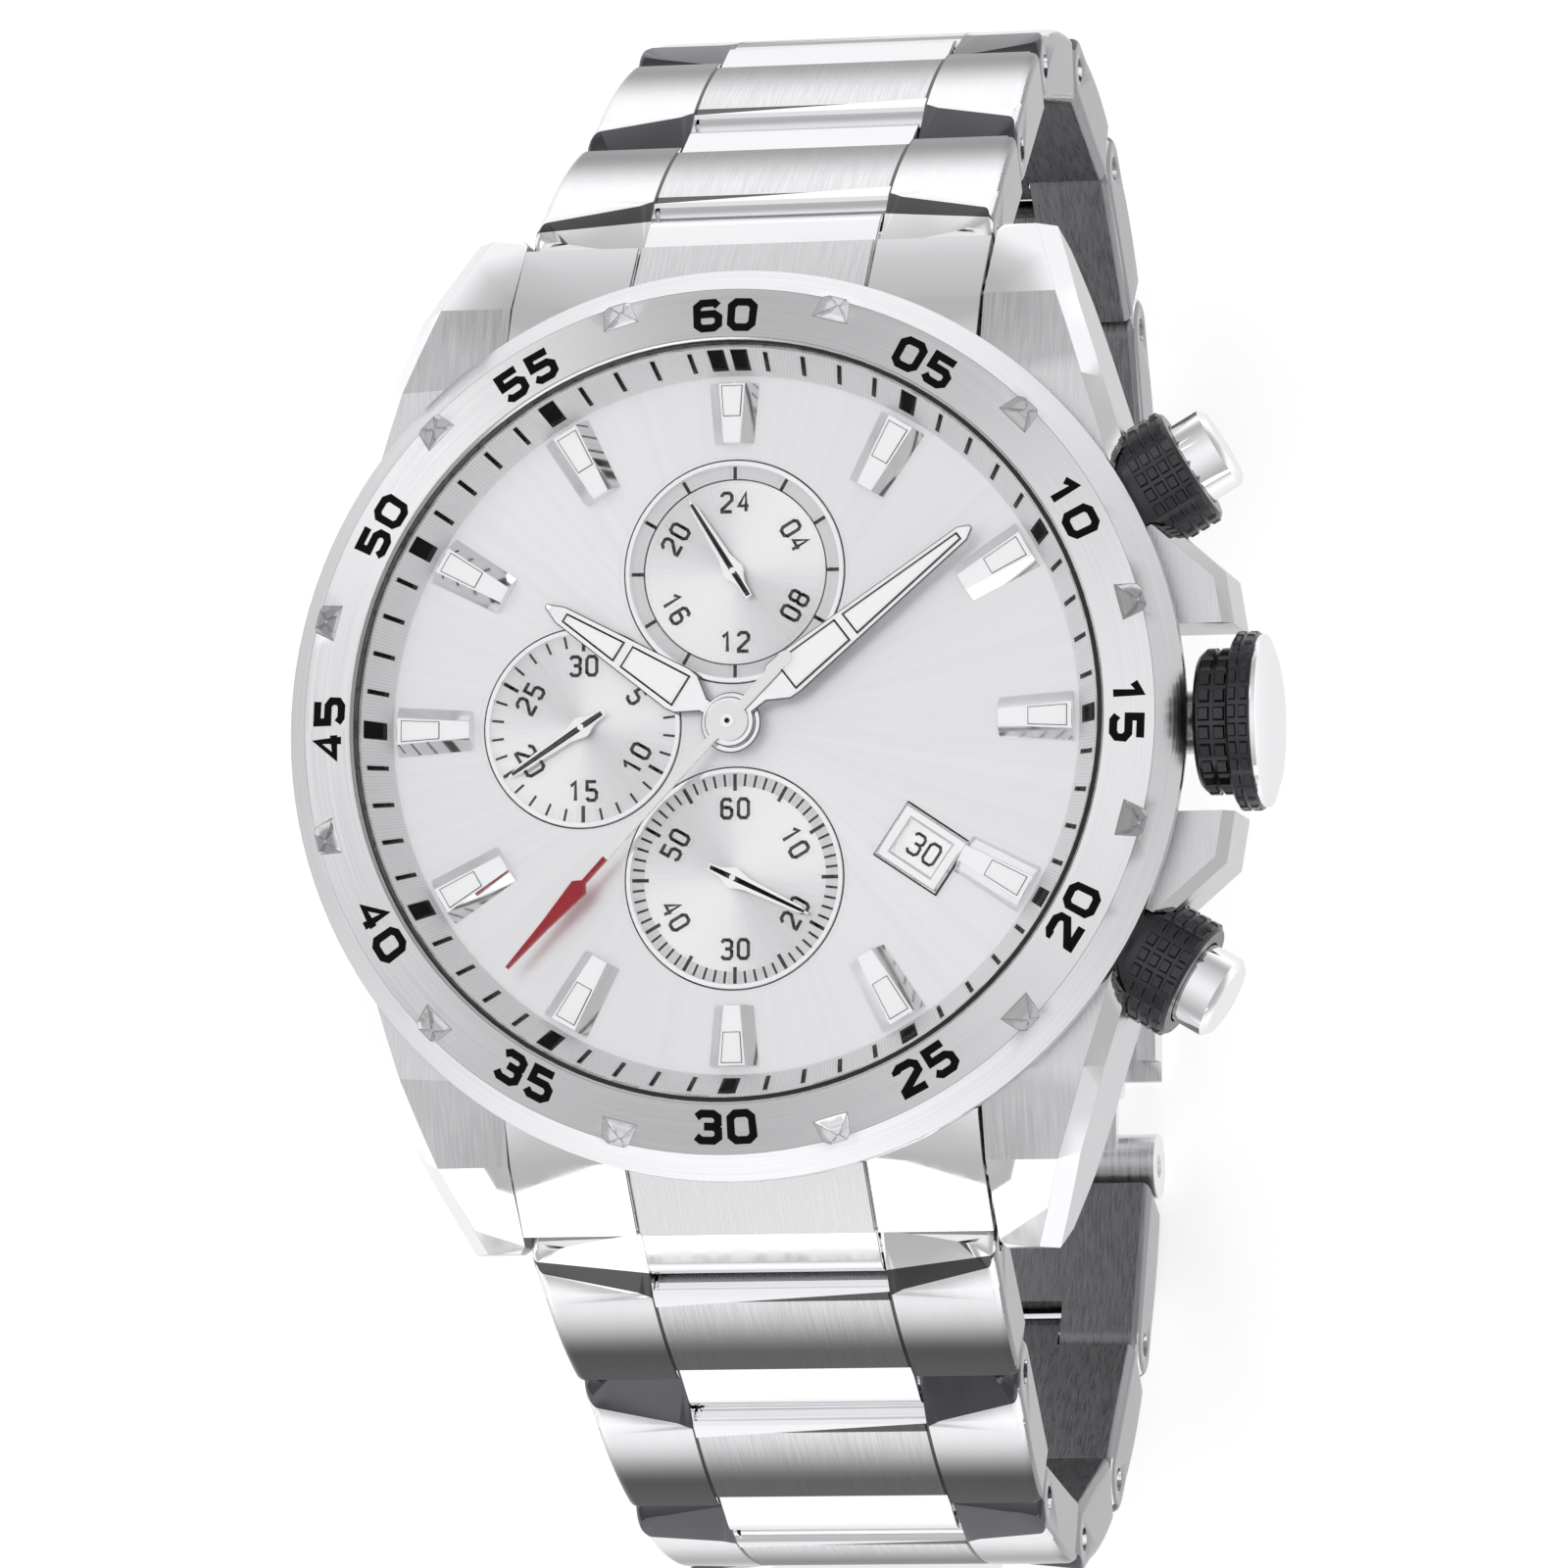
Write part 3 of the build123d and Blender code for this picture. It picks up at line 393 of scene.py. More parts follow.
def sunray(name, colour, roughness, centre=(0, 0), rays=26.0, amount=0.6, painted_light_sweep=0.0):
    """Fine rays from a centre, which catch the light in wedges, with painted light and shade swinging twice
    round.
    """
    made = Shader(name, colour, roughness, 0.65)
    _, angle, flat = made.polar(centre)
    unit = made.add("VectorMath", operation="NORMALIZE")
    made.wire(flat, unit.inputs[0])
    spread = made.vector("MULTIPLY", unit.outputs[0], (rays, rays, rays)).outputs[0]
    lines = made.noise(spread, 6.0)
    level = made.swept("SINE", angle, painted_light_sweep)
    made.grey(made.math("MULTIPLY", made.remap(lines, 0.965, 1.03), level), colour)
    made.rough(lines, roughness - 0.03, roughness + 0.03)
    made.bump(lines, 0.002)
    made.wire(unit.outputs[0], made.out.inputs["Tangent"])
    made.out.inputs["Anisotropic"].default_value = amount
    return made.mat


def ribbed_ring(name, colour, roughness, ribs):
    """Satin ring with fine radial ribs. The add node's own third value of a half lifts the wave."""
    made = Shader(name, colour, roughness, 0.35)
    _, angle, _ = made.polar()
    wave = made.math("SINE", made.math("MULTIPLY", angle, ribs))
    made.grey(made.remap(made.math("MULTIPLY_ADD", wave, 0.2), 0.9, 1.05), colour)
    made.bump(wave, 0.01, 0.6)
    return made.mat


def dart(name, steel, red, place):
    """Steel hand whose outer stretch is lacquered."""
    made = Shader(name, steel, 0.2, 0.0)
    clock, start = place
    turn = radians(clock)
    along = made.vector("DOT_PRODUCT", made.position(), (sin(turn), cos(turn), 0)).outputs["Value"]
    outer = made.math("GREATER_THAN", along, start * MM)
    made.blend(outer, steel, red)
    made.wire(made.math("MULTIPLY", made.math("SUBTRACT", 1.0, outer), 0.6), made.out.inputs["Metallic"])
    return made.mat


def glass(name):
    """Clear crystal with faint smears."""
    made = Shader(name, (0.98, 0.99, 1.0), 0.0)
    made.out.inputs["Transmission Weight"].default_value = 1.0
    made.out.inputs["IOR"].default_value = 1.45
    made.out.inputs["Alpha"].default_value = 0.05
    smears = made.noise(made.scaled((0.4, 0.4, 0.4)), 3.0)
    made.rough(smears, 0.0, 0.015)
    return made.mat


def circuit(name, board, trace):
    """Lacquered board with faint copper lines."""
    made = Shader(name, board, 0.35)
    cells = made.add("TexVoronoi", feature="DISTANCE_TO_EDGE")
    made.wire(made.scaled((0.7, 0.7, 0.7)), cells.inputs["Vector"])
    made.blend(made.math("LESS_THAN", cells.outputs["Distance"], 0.05), board, trace)
    return made.mat


def winding(name, colour):
    """Fine copper wire laid side by side."""
    made = Shader(name, colour, 0.3, 1.0)
    wave = made.add("TexWave")
    wave.inputs["Scale"].default_value = 4.0
    made.wire(made.scaled((1, 1, 0)), wave.inputs["Vector"])
    made.bump(wave.outputs["Fac"], 0.03)
    return made.mat


# ---------------------------------------------------------------- shapes made in code


class Solid:
    """Collects small closed blocks into one mesh."""

    def __init__(self):
        self.points = []
        self.faces = []

    def block(self, low, high):
        """Closed prism between two outlines with the same number of corners."""
        first = len(self.points)
        count = len(low)
        self.points += [Vector(p) for p in low] + [Vector(p) for p in high]
        self.faces.append([first + i for i in reversed(range(count))])
        self.faces.append([first + count + i for i in range(count)])
        for i in range(count):
            j = (i + 1) % count
            self.faces.append([first + i, first + j, first + count + j, first + count + i])

    def stamp(self, outline, place, low, high):
        """Prism whose flat outline is laid on a surface by place(u, v, lift)."""
        self.block([place(u, v, low) for u, v in outline], [place(u, v, high) for u, v in outline])

    def piece(self, name, body, mat):
        mesh = bpy.data.meshes.new(name)
        mesh.from_pydata([p * MM for p in self.points], [], self.faces)
        mesh.materials.append(mat)
        made = bpy.data.objects.new(name, mesh)
        bpy.context.scene.collection.objects.link(made)
        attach(made, body)
        return made


def ribbon(points, width, closed=False):
    """Four-cornered pieces of a line of even width, mitred where it turns."""
    points = [Vector(p) for p in points]
    count = len(points)
    sides = []
    for i, point in enumerate(points):
        before = points[i - 1] if i or closed else None
        after = points[(i + 1) % count] if i < count - 1 or closed else None
        ends = ((before, point), (point, after))
        ways = [(b - a).normalized() for a, b in ends if a is not None and b is not None]
        normals = [Vector((-way.y, way.x)) for way in ways]
        mean = sum(normals, Vector((0, 0))).normalized()
        reach = min(1 / max(mean.dot(normals[0]), 0.3), 1.5)
        sides.append(mean * reach * width / 2)
    quads = []
    for i in range(count if closed else count - 1):
        j = (i + 1) % count
        a, b, p, q = points[i], points[j], sides[i], sides[j]
        quads.append([tuple(a - p), tuple(b - q), tuple(b + q), tuple(a + p)])
    return quads


# Lines of each digit in a unit square, and whether each line closes on itself
SIX = [
    (0.95, 0.86), (0.78, 1), (0.22, 1), (0, 0.86), (0, 0.14), (0.22, 0),
    (0.78, 0), (1, 0.14), (1, 0.42), (0.78, 0.56), (0, 0.56),
]
FIVE = [
    (0.95, 1), (0.04, 1), (0.04, 0.56), (0.78, 0.56), (1, 0.42), (1, 0.14), (0.78, 0), (0.22, 0), (0, 0.14),
]
EIGHT_LOW = [(0.22, 0), (0.78, 0), (1, 0.13), (1, 0.4), (0.8, 0.52), (0.2, 0.52), (0, 0.4), (0, 0.13)]
EIGHT_TOP = [
    (0.2, 0.52), (0.8, 0.52), (0.97, 0.64), (0.97, 0.87), (0.78, 1), (0.22, 1), (0.03, 0.87), (0.03, 0.64),
]
STROKES = {
    "0": [([(0.22, 0), (0.78, 0), (1, 0.16), (1, 0.84), (0.78, 1), (0.22, 1), (0, 0.84), (0, 0.16)], True)],
    "1": [([(0.1, 0.78), (0.55, 1), (0.55, 0)], False)],
    "2": [
        ([(0, 0.8), (0, 0.88), (0.22, 1), (0.78, 1), (1, 0.86), (1, 0.62), (0, 0.12), (0, 0), (1, 0)], False),
    ],
    "3": [
        ([(0, 0.86), (0.22, 1), (0.78, 1), (1, 0.87), (1, 0.64), (0.8, 0.52), (0.35, 0.52)], False),
        ([(0.8, 0.52), (1, 0.4), (1, 0.13), (0.78, 0), (0.22, 0), (0, 0.14)], False),
    ],
    "4": [([(0.74, 0), (0.74, 1), (0, 0.3), (1, 0.3)], False)],
    "5": [(FIVE, False)],
    "6": [(SIX, False)],
    "7": [([(0, 1), (1, 1), (0.4, 0)], False)],
    "8": [(EIGHT_LOW, True), (EIGHT_TOP, True)],
    "9": [([(1 - x, 1 - y) for x, y in SIX], False)],
}


def text_quads(text, height, width, stroke, gap):
    """Outlines of a number's strokes, centred on the origin."""
    quads = []
    start = -(len(text) * width + (len(text) - 1) * gap) / 2
    for digit in text:
        for points, closed in STROKES[digit]:
            line = [
                (start + stroke / 2 + x * (width - stroke), (y - 0.5) * (height - stroke)) for x, y in points
            ]
            quads += ribbon(line, stroke, closed)
        start += width + gap
    return quads


def around(clock, radius, surface, centre=(0, 0), inward=False):
    """Placing function for marks round a ring: u runs along the ring, v across it."""
    flip = -1 if inward else 1

    def place(u, v, lift):
        r = radius + flip * v
        turn = radians(clock) + flip * u / radius
        return (centre[0] + r * sin(turn), centre[1] + r * cos(turn), surface(r) + lift)

    return place


def flat_at(clock, radius, z, centre=(0, 0), spin=None):
    """Placing function for straight marks, with v pointing outwards or along a given clock angle."""
    turn = radians(clock)
    x = centre[0] + radius * sin(turn)
    y = centre[1] + radius * cos(turn)
    face = turn if spin is None else radians(spin)

    def place(u, v, lift):
        return (x + u * cos(face) + v * sin(face), y - u * sin(face) + v * cos(face), z + lift)

    return place


def level(z):
    """Height of a flat face at any radius."""
    return lambda r: z


def slope(ends):
    """Height of a cone at a radius, from the radius and height of its two edges."""
    (r0, z0), (r1, z1) = ends
    return lambda r: z0 + (r - r0) * (z1 - z0) / (r1 - r0)


def rectangle(half_u, low_v, high_v, middle=0.0):
    left, right = middle - half_u, middle + half_u
    return [(left, low_v), (right, low_v), (right, high_v), (left, high_v)]


def arc_marks(solid, radius, half_v, clock_from, clock_to, surface, centre=(0, 0), step=3.0):
    """Thin ring or part of one, cut into short flat pieces."""
    count = max(1, round((clock_to - clock_from) / step))
    for i in range(count):
        a = clock_from + (clock_to - clock_from) * i / count
        b = clock_from + (clock_to - clock_from) * (i + 1) / count
        corners = [(a, radius - half_v), (b, radius - half_v), (b, radius + half_v), (a, radius + half_v)]
        outline = [
            (centre[0] + r * sin(radians(t)), centre[1] + r * cos(radians(t)), surface(r)) for t, r in corners
        ]
        solid.block([(x, y, z - 0.01) for x, y, z in outline], [(x, y, z + PRINT) for x, y, z in outline])


def make_bezel_numerals(mat):
    surface = slope(BEZEL_CONE)
    numerals = Solid()
    for k in range(12):
        text = f"{5 * k or 60:02d}"
        inward = 4 <= k <= 8
        place = around(30 * k, 19.33, surface, inward=inward)
        for quad in text_quads(text, height=1.62, width=1.42, stroke=0.37, gap=0.24):
            numerals.stamp(quad, place, -0.05, PRINT)
    numerals.piece("bezel_numerals", "case", mat)


def make_minute_marks(mat):
    surface = slope(TRACK_SLOPE)
    marks = Solid()
    for minute in range(60):
        place = around(6 * minute, 17.3, surface)
        if minute % 5:
            marks.stamp(rectangle(0.11, -0.42, 0.34), place, -0.03, 0.03)
        elif minute:
            marks.stamp(rectangle(0.42, -0.42, 0.40), place, -0.03, 0.03)
        else:
            for middle in (-0.55, 0.55):
                marks.stamp(rectangle(0.40, -0.42, 0.40, middle), place, -0.03, 0.03)
    marks.piece("minute_marks", "case", mat)


def make_subdial_print(mat, grey_mat):
    sunk = level(SUBDIAL_Z)
    marks = Solid()
    band = Solid()
    for name, divisions, labels, digit_r in (
        ("day", 12, ("24", "04", "08", "12", "16", "20"), 3.35),
        ("seconds", 60, ("60", "10", "20", "30", "40", "50"), 3.35),
        ("minutes", 30, ("30", "5", "10", "15", "20", "25"), 3.0),
    ):
        x, y, radius = SUBDIALS[name]
        outer = radius - 0.25
        arc_marks(marks, radius + 0.05, 0.035, 0, 360, level(DIAL_Z), (x, y))
        if name != "minutes":
            arc_marks(band, outer - 0.28, 0.30, 0, 360, sunk, (x, y))
        if name == "day":
            arc_marks(marks, outer - 0.62, 0.03, 0, 360, sunk, (x, y))
        for i in range(divisions):
            strong = name == "day" or i % 5 == 0
            length = 0.6 if name == "day" else (0.8 if strong else 0.58)
            place = flat_at(360 * i / divisions, outer, SUBDIAL_Z, (x, y))
            marks.stamp(rectangle(0.085 if strong else 0.055, -length, 0), place, -0.01, 1.5 * PRINT)
        for i, text in enumerate(labels):
            clock = 60 * i
            spin = clock if clock <= 90 or clock >= 270 else clock - 180
            place = flat_at(clock, digit_r, SUBDIAL_Z, (x, y), spin)
            for quad in text_quads(text, height=1.05, width=0.64, stroke=0.16, gap=0.17):
                marks.stamp(quad, place, -0.01, PRINT)
    marks.piece("subdial_marks", "case", mat)
    band.piece("day_band", "case", grey_mat)


def make_date_numerals(mat):
    """Numbers 1 to 31 on the disc, read outwards along the radius. Thirty shows at rest."""
    numerals = Solid()
    for day in range(1, 32):
        clock = DATE_CLOCK + (day - 30) * 360 / 31
        place = flat_at(clock, DATE_R, DATE_DISC_Z, spin=clock - 90)
        for quad in text_quads(str(day), height=1.15, width=0.72, stroke=0.14, gap=0.18):
            numerals.stamp(quad, place, -0.01, PRINT)
    numerals.piece("date_numerals", "date_disc", mat)


def make_index_lume(mat, edge_shade_mat):
    """White plate on each hour index, with a fine line of painted shadow round it."""
    lume = Solid()
    shade_outline = Solid()
    for hour in range(12):
        outer = 16.15
        inner = 14.7 if hour in (0, 6) else 14.3
        place = flat_at(30 * hour, 0, INDEX_TOP)
        outline = [(-0.4, inner), (0.4, inner), (0.5, outer), (-0.5, outer)]
        lume.stamp(outline, place, -0.02, 0.04)
        for quad in ribbon(outline, 0.04, closed=True):
            shade_outline.stamp(quad, place, -0.02, 0.045)
    lume.piece("index_lume", "case", mat)
    shade_outline.piece("index_shade_outline", "case", edge_shade_mat)


def make_hand_lume(mat, edge_shade_mat):
    """Two white plates on each long hand, each with a dark line of painted shade round it."""
    for name, body, (clock, top), parts in (
        ("hour_hand", "hour", HOUR, (
            [(-0.8, 2.9), (0.8, 2.9), (0.55, 6.0), (-0.55, 6.0)],
            [(-0.5, 6.5), (0.5, 6.5), (0.2, 9.6), (-0.2, 9.6)],
        )),
        ("minute_hand", "minute", MINUTE, (
            [(-0.78, 3.5), (0.78, 3.5), (0.6, 6.9), (-0.6, 6.9)],
            [(-0.57, 7.4), (0.57, 7.4), (0.16, 14.0), (-0.16, 14.0)],
        )),
    ):
        lume = Solid()
        shade_outline = Solid()
        place = flat_at(clock, 0, top)
        for outline in parts:
            lume.stamp(outline, place, -0.02, 0.05)
            for quad in ribbon(outline, 0.09, closed=True):
                shade_outline.stamp(quad, place, -0.02, 0.06)
        lume.piece(name + "_lume", body, mat)
        shade_outline.piece(name + "_edges", body, edge_shade_mat)


def disc_outline(radius):
    return [(radius * cos(pi * i / 8), radius * sin(pi * i / 8)) for i in range(16)]


def make_small_outlines(mat):
    """Painted shade: a dark disc for the hole in the centre pin, and a dark line round the date frame."""
    hole = Solid()
    hole.stamp(disc_outline(0.13), flat_at(0, 0, CENTRE_PIN_TOP), -0.01, PRINT)
    hole.piece("centre_pin_hole", "chrono", mat)
    line = Solid()
    place = flat_at(DATE_CLOCK, DATE_R, DIAL_Z)
    half_u, half_v = 1.49, 1.79
    for quad in ribbon(rectangle(half_u, -half_v, half_v), 0.08, closed=True):
        line.stamp(quad, place, -0.01, PRINT)
    line.piece("date_frame_line", "case", mat)


def make_subhand_lines(mat, steel):
    """Black line down each small hand, broken by a steel dot at the hub."""
    for name, dial, clock, length, tail in (
        ("day", "day", 328, 4.0, 1.5),
        ("small_seconds", "seconds", 116, 4.05, 1.3),
        ("minute_counter", "minutes", 237, 4.2, 1.3),
    ):
        x, y, _ = SUBDIALS[dial]
        line = Solid()
        place = flat_at(clock, 0, SUB_HAND_TOP, (x, y))
        tip = length - 0.2
        line.stamp([(-0.13, 0), (0.13, 0), (0.07, tip), (-0.07, tip)], place, -0.01, 0.08)
        line.stamp([(-0.10, -tail + 0.1), (0.10, -tail + 0.1), (0.13, 0), (-0.13, 0)], place, -0.01, 0.08)
        line.piece(name + "_hand_line", name, mat)
        boss = Solid()
        boss.stamp(disc_outline(0.15), place, 0.05, 0.10)
        boss.piece(name + "_hand_boss", name, steel)


def tooth(solid, origin, out, along, side, half_along, half_side, height):
    """Small bevelled stud, its foot sunk a little into the surface it stands on."""
    base = [(-1, -1), (1, -1), (1, 1), (-1, 1)]
    narrowing, sink = 0.72, 0.05

    def ring(share, lift):
        return [
            origin + along * (a * half_along * share) + side * (s * half_side * share) + out * lift
            for a, s in base
        ]

    solid.block(ring(1.0, -sink), ring(narrowing, height))


def knurl(solid, plane_turn, radius, start, end, columns, count, height):
    """Square studs in rings about an axis that leaves the case at a given angle."""
    axis = Vector((cos(plane_turn), sin(plane_turn), 0))
    up = Vector((0, 0, 1))
    side = up.cross(axis)
    pitch = (end - start) / columns
    for column in range(columns):
        for i in range(count):
            turn = 2 * pi * i / count
            out = up * cos(turn) + side * sin(turn)
            around_way = side * cos(turn) - up * sin(turn)
            centre = axis * (start + pitch * (column + 0.5)) + Vector((0, 0, CROWN_Z)) + out * radius
            tooth(solid, centre, out, axis, around_way, pitch * 0.41, pi * radius / count * 0.80, height)


def make_knurling(mat):
    grip = Solid()
    knurl(grip, 0, radius=3.35, start=22.1, end=23.55, columns=2, count=24, height=0.13)
    knurl(grip, 0, radius=4.15, start=23.65, end=24.72, columns=2, count=30, height=0.10)
    grip.piece("crown_studs", "crown", mat)
    collars = Solid()
    for angle in (30, -30):
        knurl(collars, radians(angle), radius=2.9, start=22.2, end=24.6, columns=4, count=22, height=0.09)
    collars.piece("collar_studs", "case", mat)


# ---------------------------------------------------------------- finishes on the CAD nodes


def dress(name, mats, choose=None):
    """Gives a node its materials, and each face the one that choose(centre, normal) numbers."""
    mesh = nodes[name].data
    mesh.materials.clear()
    for mat in mats:
        mesh.materials.append(mat)
    for face in mesh.polygons:
        face.material_index = choose(face.center / MM, face.normal) if choose else 0


def soften(name, width, edge_shade=None):
    """Breaks a steel part's sharp edges; where a material is given, the bevels get it as painted shade."""
    part = nodes[name]
    weld = part.modifiers.new("weld", "WELD")
    weld.merge_threshold = 0.001 * MM
    bevel = part.modifiers.new("bevel", "BEVEL")
    bevel.width = width * MM
    bevel.segments = 2
    bevel.limit_method = "ANGLE"
    bevel.angle_limit = radians(32)
    bevel.harden_normals = False
    if edge_shade:
        part.data.materials.append(edge_shade)
        bevel.material = len(part.data.materials) - 1
    part.modifiers.new("normals", "WEIGHTED_NORMAL")


def link_frames():
    """Near pivot and direction of each link, read from the joints."""
    places = {j["name"]: Vector(j["pos_m"]) / MM for j in frame["joints"] if "pos_m" in j}
    end = places["clasp_end_hinge"]
    frames = {}
    for half, last in (("upper", Vector((end.x, -end.y, end.z))), ("lower", end)):
        pivots = [places[f"{half}_link_{i}_hinge"] for i in range(1, 7)] + [last]
        for i in range(6):
            frames[f"{half}_link_{i + 1}"] = (pivots[i], (pivots[i + 1] - pivots[i]).normalized())
    return frames


def dress_bracelet(satin, mirror, inside, facet, flank):
    """Brushed centre pieces and polished sides, each link painted darker towards its far end as painted
    shade; inner faces, flanks and end facets get dark steel as painted shade.
    """
    for name, (pivot, way) in link_frames().items():
        upper = name.startswith("upper")
        side = 1 if upper else -1
        outwards = Vector((0, -way.z * side, way.y * side))
        # Painted shade: the span along each link over which it darkens, then how dark its far end is painted
        painted_shade_span = (3.2, 7.6) if upper else (1.6, 6.4)
        link = (pivot, way, painted_shade_span)
        satin_link = crowned(name + "_brushed", STEEL, 0.34, link, 0.40 if upper else 0.12, (14, 0.35, 0.35))
        bright_link = crowned(name + "_polished", POLISH, 0.07, link, 0.22 if upper else 0.07)

        def choose(centre, normal, pivot=pivot, way=way, outwards=outwards):
            along = (centre - pivot).dot(way)
            # Painted shade goes on inner faces (2), end facets (3) and flanks (4)
            if normal.dot(outwards) < -0.7:
                return 2
            if abs(centre.x) < CENTRE_HALF_W + 0.05:
                return 0 if CENTRE_SPAN[0] < along < CENTRE_SPAN[1] else 5
            if normal.dot(way) < -0.2 and normal.dot(outwards) > 0.15:
                return 3
            return 4 if abs(normal.x) > 0.75 else 1

        first = name.endswith("_1")
        # End facets get painted shade: split dark and light on first links, plain dark steel on the others
        end_facet_shade = split_facet(name + "_facet", (0.09, 0.09, 0.1), 0.9, link) if first else facet
        dress(name, (satin_link, bright_link, inside, end_facet_shade, flank, mirror), choose)
        soften(name, 0.05, flank)

    def end_choice(centre, normal):
        if normal.z < -0.3:
            return 2
        bar_y, bar_z, reach = END_BAR
        near_bar = hypot(abs(centre.y) - bar_y, centre.z - bar_z) < reach
        return 1 if near_bar or abs(centre.x) > CENTRE_HALF_W else 0

    for name in ("end_link_upper", "end_link_lower"):
        dress(name, (satin, mirror, inside), end_choice)
        soften(name, 0.05, flank)
    for name in ("clasp_cover", "clasp_middle_blade", "clasp_end_blade"):
        dress(name, (satin, mirror), lambda centre, normal: 1 if abs(normal.x) > 0.6 else 0)
        soften(name, 0.07)


def dress_case(top, side, mirror, cone, rim, edge_shade):
    def case_choice(centre, normal):
        if normal.z > 0.9:
            return 0
        if normal.z > 0.1:
            return 2
        return 1

    dress("case_middle", (top, side, mirror), case_choice)
    soften("case_middle", 0.05, edge_shade)

    def bezel_choice(centre, normal):
        on_cone = BEZEL_CONE[0][0] < hypot(centre.x, centre.y) < BEZEL_CONE[1][0]
        return 0 if normal.z > 0.95 and on_cone else 1

    dress("bezel", (cone, rim), bezel_choice)
    soften("bezel", 0.035, edge_shade)
    dress("case_back", (cone, mirror), lambda centre, normal: 0 if normal.z < -0.9 else 1)
    soften("case_back", 0.06)


def dress_dial(main, faces):
    order = list(SUBDIALS)

    def choose(centre, normal):
        if centre.z < DIAL_Z - 0.05:
            for i, name in enumerate(order):
                x, y, radius = SUBDIALS[name]
                if hypot(centre.x - x, centre.y - y) < radius:
                    return i + 1
        return 0

    dress("dial", [main] + [faces[name] for name in order], choose)


make_camera()
make_studio()
bpy.context.scene.view_settings.view_transform = "Standard"

# Black for the print, and also painted shade for the centre pin hole, the date frame line and the lines round
# the hand lume
black_print_and_shade = plain("black_print_and_shade", (0.003, 0.003, 0.0035), 0.6, shine=0.1)
black_plate = plain("black_plate", (0.06, 0.06, 0.065), 0.22, 0.85)
mirror = polished("polished_steel", POLISH)
satin_long = brushed("brushed_along", STEEL, 0.33, (14, 0.35, 0.35))
satin_top = brushed("brushed_case_top", CASE_STEEL, 0.34, (12, 0.4, 0.4))
satin_side = brushed("brushed_case_side", CASE_STEEL, 0.33, (0.4, 0.4, 12))
# Dark satin steel as painted shade on the bracelet's inner, downward faces
satin_inside_painted_shade = brushed("satin_inside_painted_shade", (0.34, 0.34, 0.35), 0.3, (10, 1, 1))
# Painted light: brighter towards 3 and 9, darker towards 12 and 6
cone_steel = turned("brushed_round", (0.76, 0.76, 0.77), 0.33, painted_light_sweep=0.22)
# The lume's glow is painted light that brightens it in the shade under the crystal
lume = plain("lume", (0.97, 0.975, 0.98), 0.55, glow=0.18)
rubber = plain("rubber", (0.02, 0.02, 0.02), 0.7)
inner_steel = polished("inner_steel", (0.7, 0.7, 0.71), 0.22)
brass = turned("machined_brass", (0.75, 0.58, 0.30), 0.3, rings=4)

# Painted light: the bezel slope brighter towards 12 and 6, darker towards 3 and 9
rim_steel = turned("bezel_slope", CASE_STEEL, 0.16, painted_light_sweep=-0.24)
# Dark polished steel as painted shade on the bevelled edges of the case middle and bezel
case_edges_painted_shade = polished("case_edges_painted_shade", (0.34, 0.34, 0.35), 0.15)
dress_case(satin_top, satin_side, mirror, cone_steel, rim_steel, case_edges_painted_shade)
# Near-black polished steel as painted shade on the link end facets and on the side walls and bevels of the
# hour and minute hands
painted_shade_mirror = polished("painted_shade_steel", (0.10, 0.10, 0.11), 0.14)
# Dark polished steel as painted shade on the link flanks and on the bevels of the link and end-link edges
flank_painted_shade = polished("link_flanks_painted_shade", (0.30, 0.30, 0.31), 0.12)
dress_bracelet(satin_long, mirror, satin_inside_painted_shade, painted_shade_mirror, flank_painted_shade)
# Painted light: each subdial face brighter towards half past one and half past seven, darker towards half
# past four and half past ten
subdial_faces = {
    name: sunray(name + "_face", POLISH, 0.30, place[:2], painted_light_sweep=0.2) for name, place in SUBDIALS.items()
}
dress_dial(sunray("dial_silver", POLISH, 0.34), subdial_faces)
dress("crystal", (glass("crystal_glass"),))
dress("minute_track_ring", (ribbed_ring("track_silver", POLISH, 0.38, 720),))
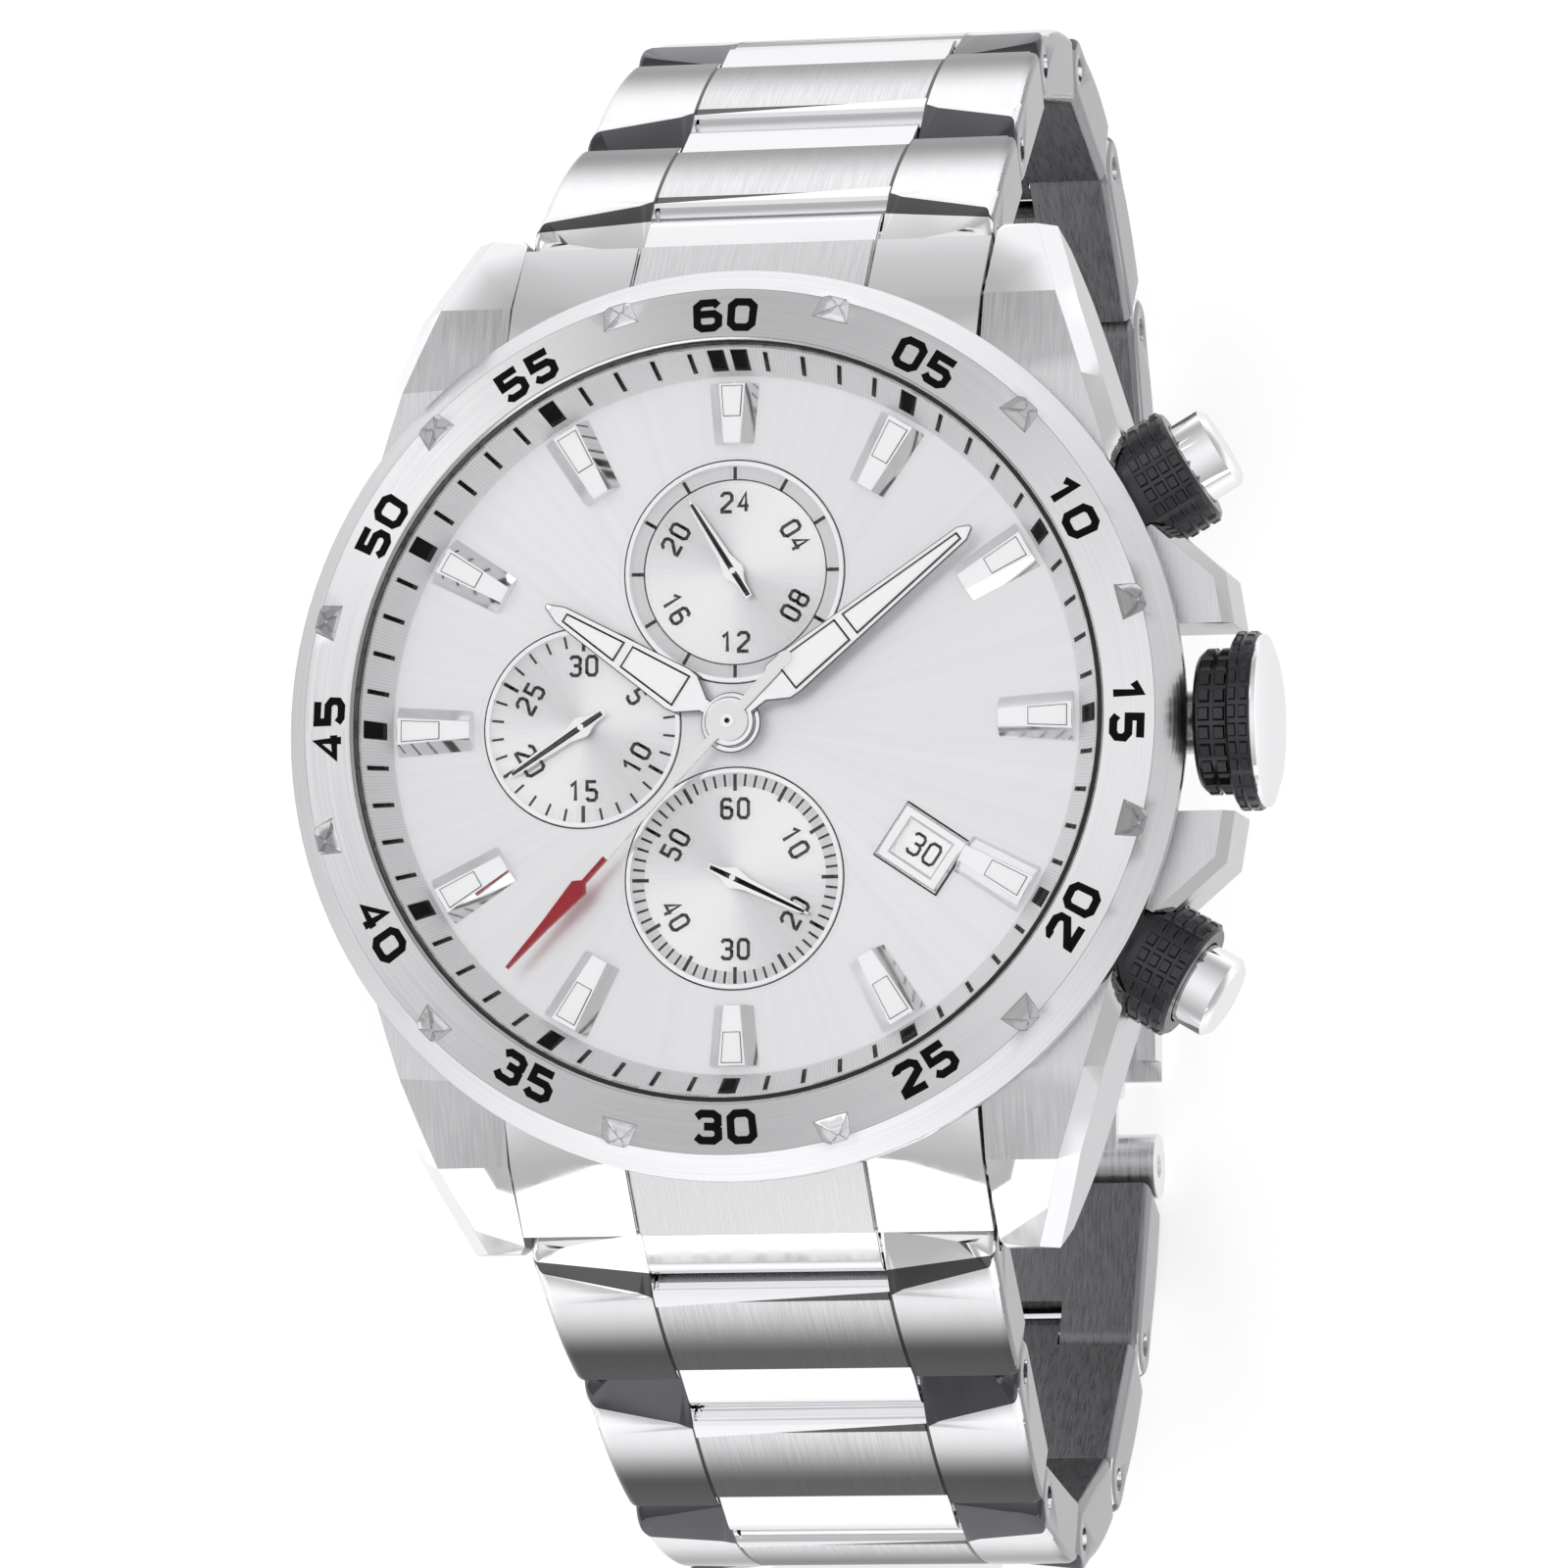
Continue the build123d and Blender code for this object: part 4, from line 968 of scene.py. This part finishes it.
# The date disc's glow is painted light that lifts it out of the shade under the dial
dress("date_ring", (plain("date_white", (0.94, 0.94, 0.94), 0.5, glow=0.3),))
dress("movement_holder", (plain("holder_plastic", (0.8, 0.8, 0.77), 0.5),))
dress("circuit_board", (circuit("board", (0.02, 0.14, 0.06), (0.05, 0.24, 0.1)),))
dress("stepper_coils", (winding("copper_wire", (0.72, 0.32, 0.14)),))
dress("chrono_seconds_hand", (dart("chrono_hand", (0.9, 0.9, 0.9), (0.40, 0.003, 0.014), CHRONO_DART),))
for name in ("hour_indices", "date_frame", "crown_cap", "start_button", "reset_button"):
    dress(name, (mirror,))
    soften(name, 0.03)
# The hands' side walls and edge bevels get the painted shade steel
for name in ("hour_hand", "minute_hand"):
    dress(name, (mirror, painted_shade_mirror), lambda centre, normal: 1 if abs(normal.z) < 0.5 else 0)
    soften(name, 0.05, painted_shade_mirror)
for name in ("subdial_rings", "day_hand", "minute_counter_hand", "small_seconds_hand"):
    dress(name, (mirror,))
for name in ("pusher_collars", "crown_grip"):
    dress(name, (black_plate,))
for name in ("case_back_gasket", "crystal_gasket", "crown_gasket"):
    dress(name, (rubber,))
for name in ("mainplate", "train_bridge"):
    dress(name, (brass,))
for name in ("hour_wheel", "minute_wheel", "chrono_wheel"):
    dress(name, (brass, mirror), lambda centre, normal: 1 if centre.z > WHEEL_STEEL_Z else 0)
for name in (
    "bridge_screws", "battery", "crown_tube", "setting_stem",
    "start_button_spring", "reset_button_spring", "spring_bars",
):
    dress(name, (inner_steel,))

for name, turn in (("start", 30), ("reset", -30)):
    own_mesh(nodes[name + "_button_spring"])

make_bezel_numerals(black_print_and_shade)
make_minute_marks(black_print_and_shade)
make_subdial_print(black_print_and_shade, plain("day_band_grey", (0.80, 0.80, 0.81), 0.4, 0.5))
make_date_numerals(black_print_and_shade)
make_index_lume(lume, plain("edge_shadow", (0.12, 0.12, 0.13), 0.5))
make_hand_lume(lume, black_print_and_shade)
make_subhand_lines(black_print_and_shade, mirror)
make_small_outlines(black_print_and_shade)
make_knurling(black_plate)
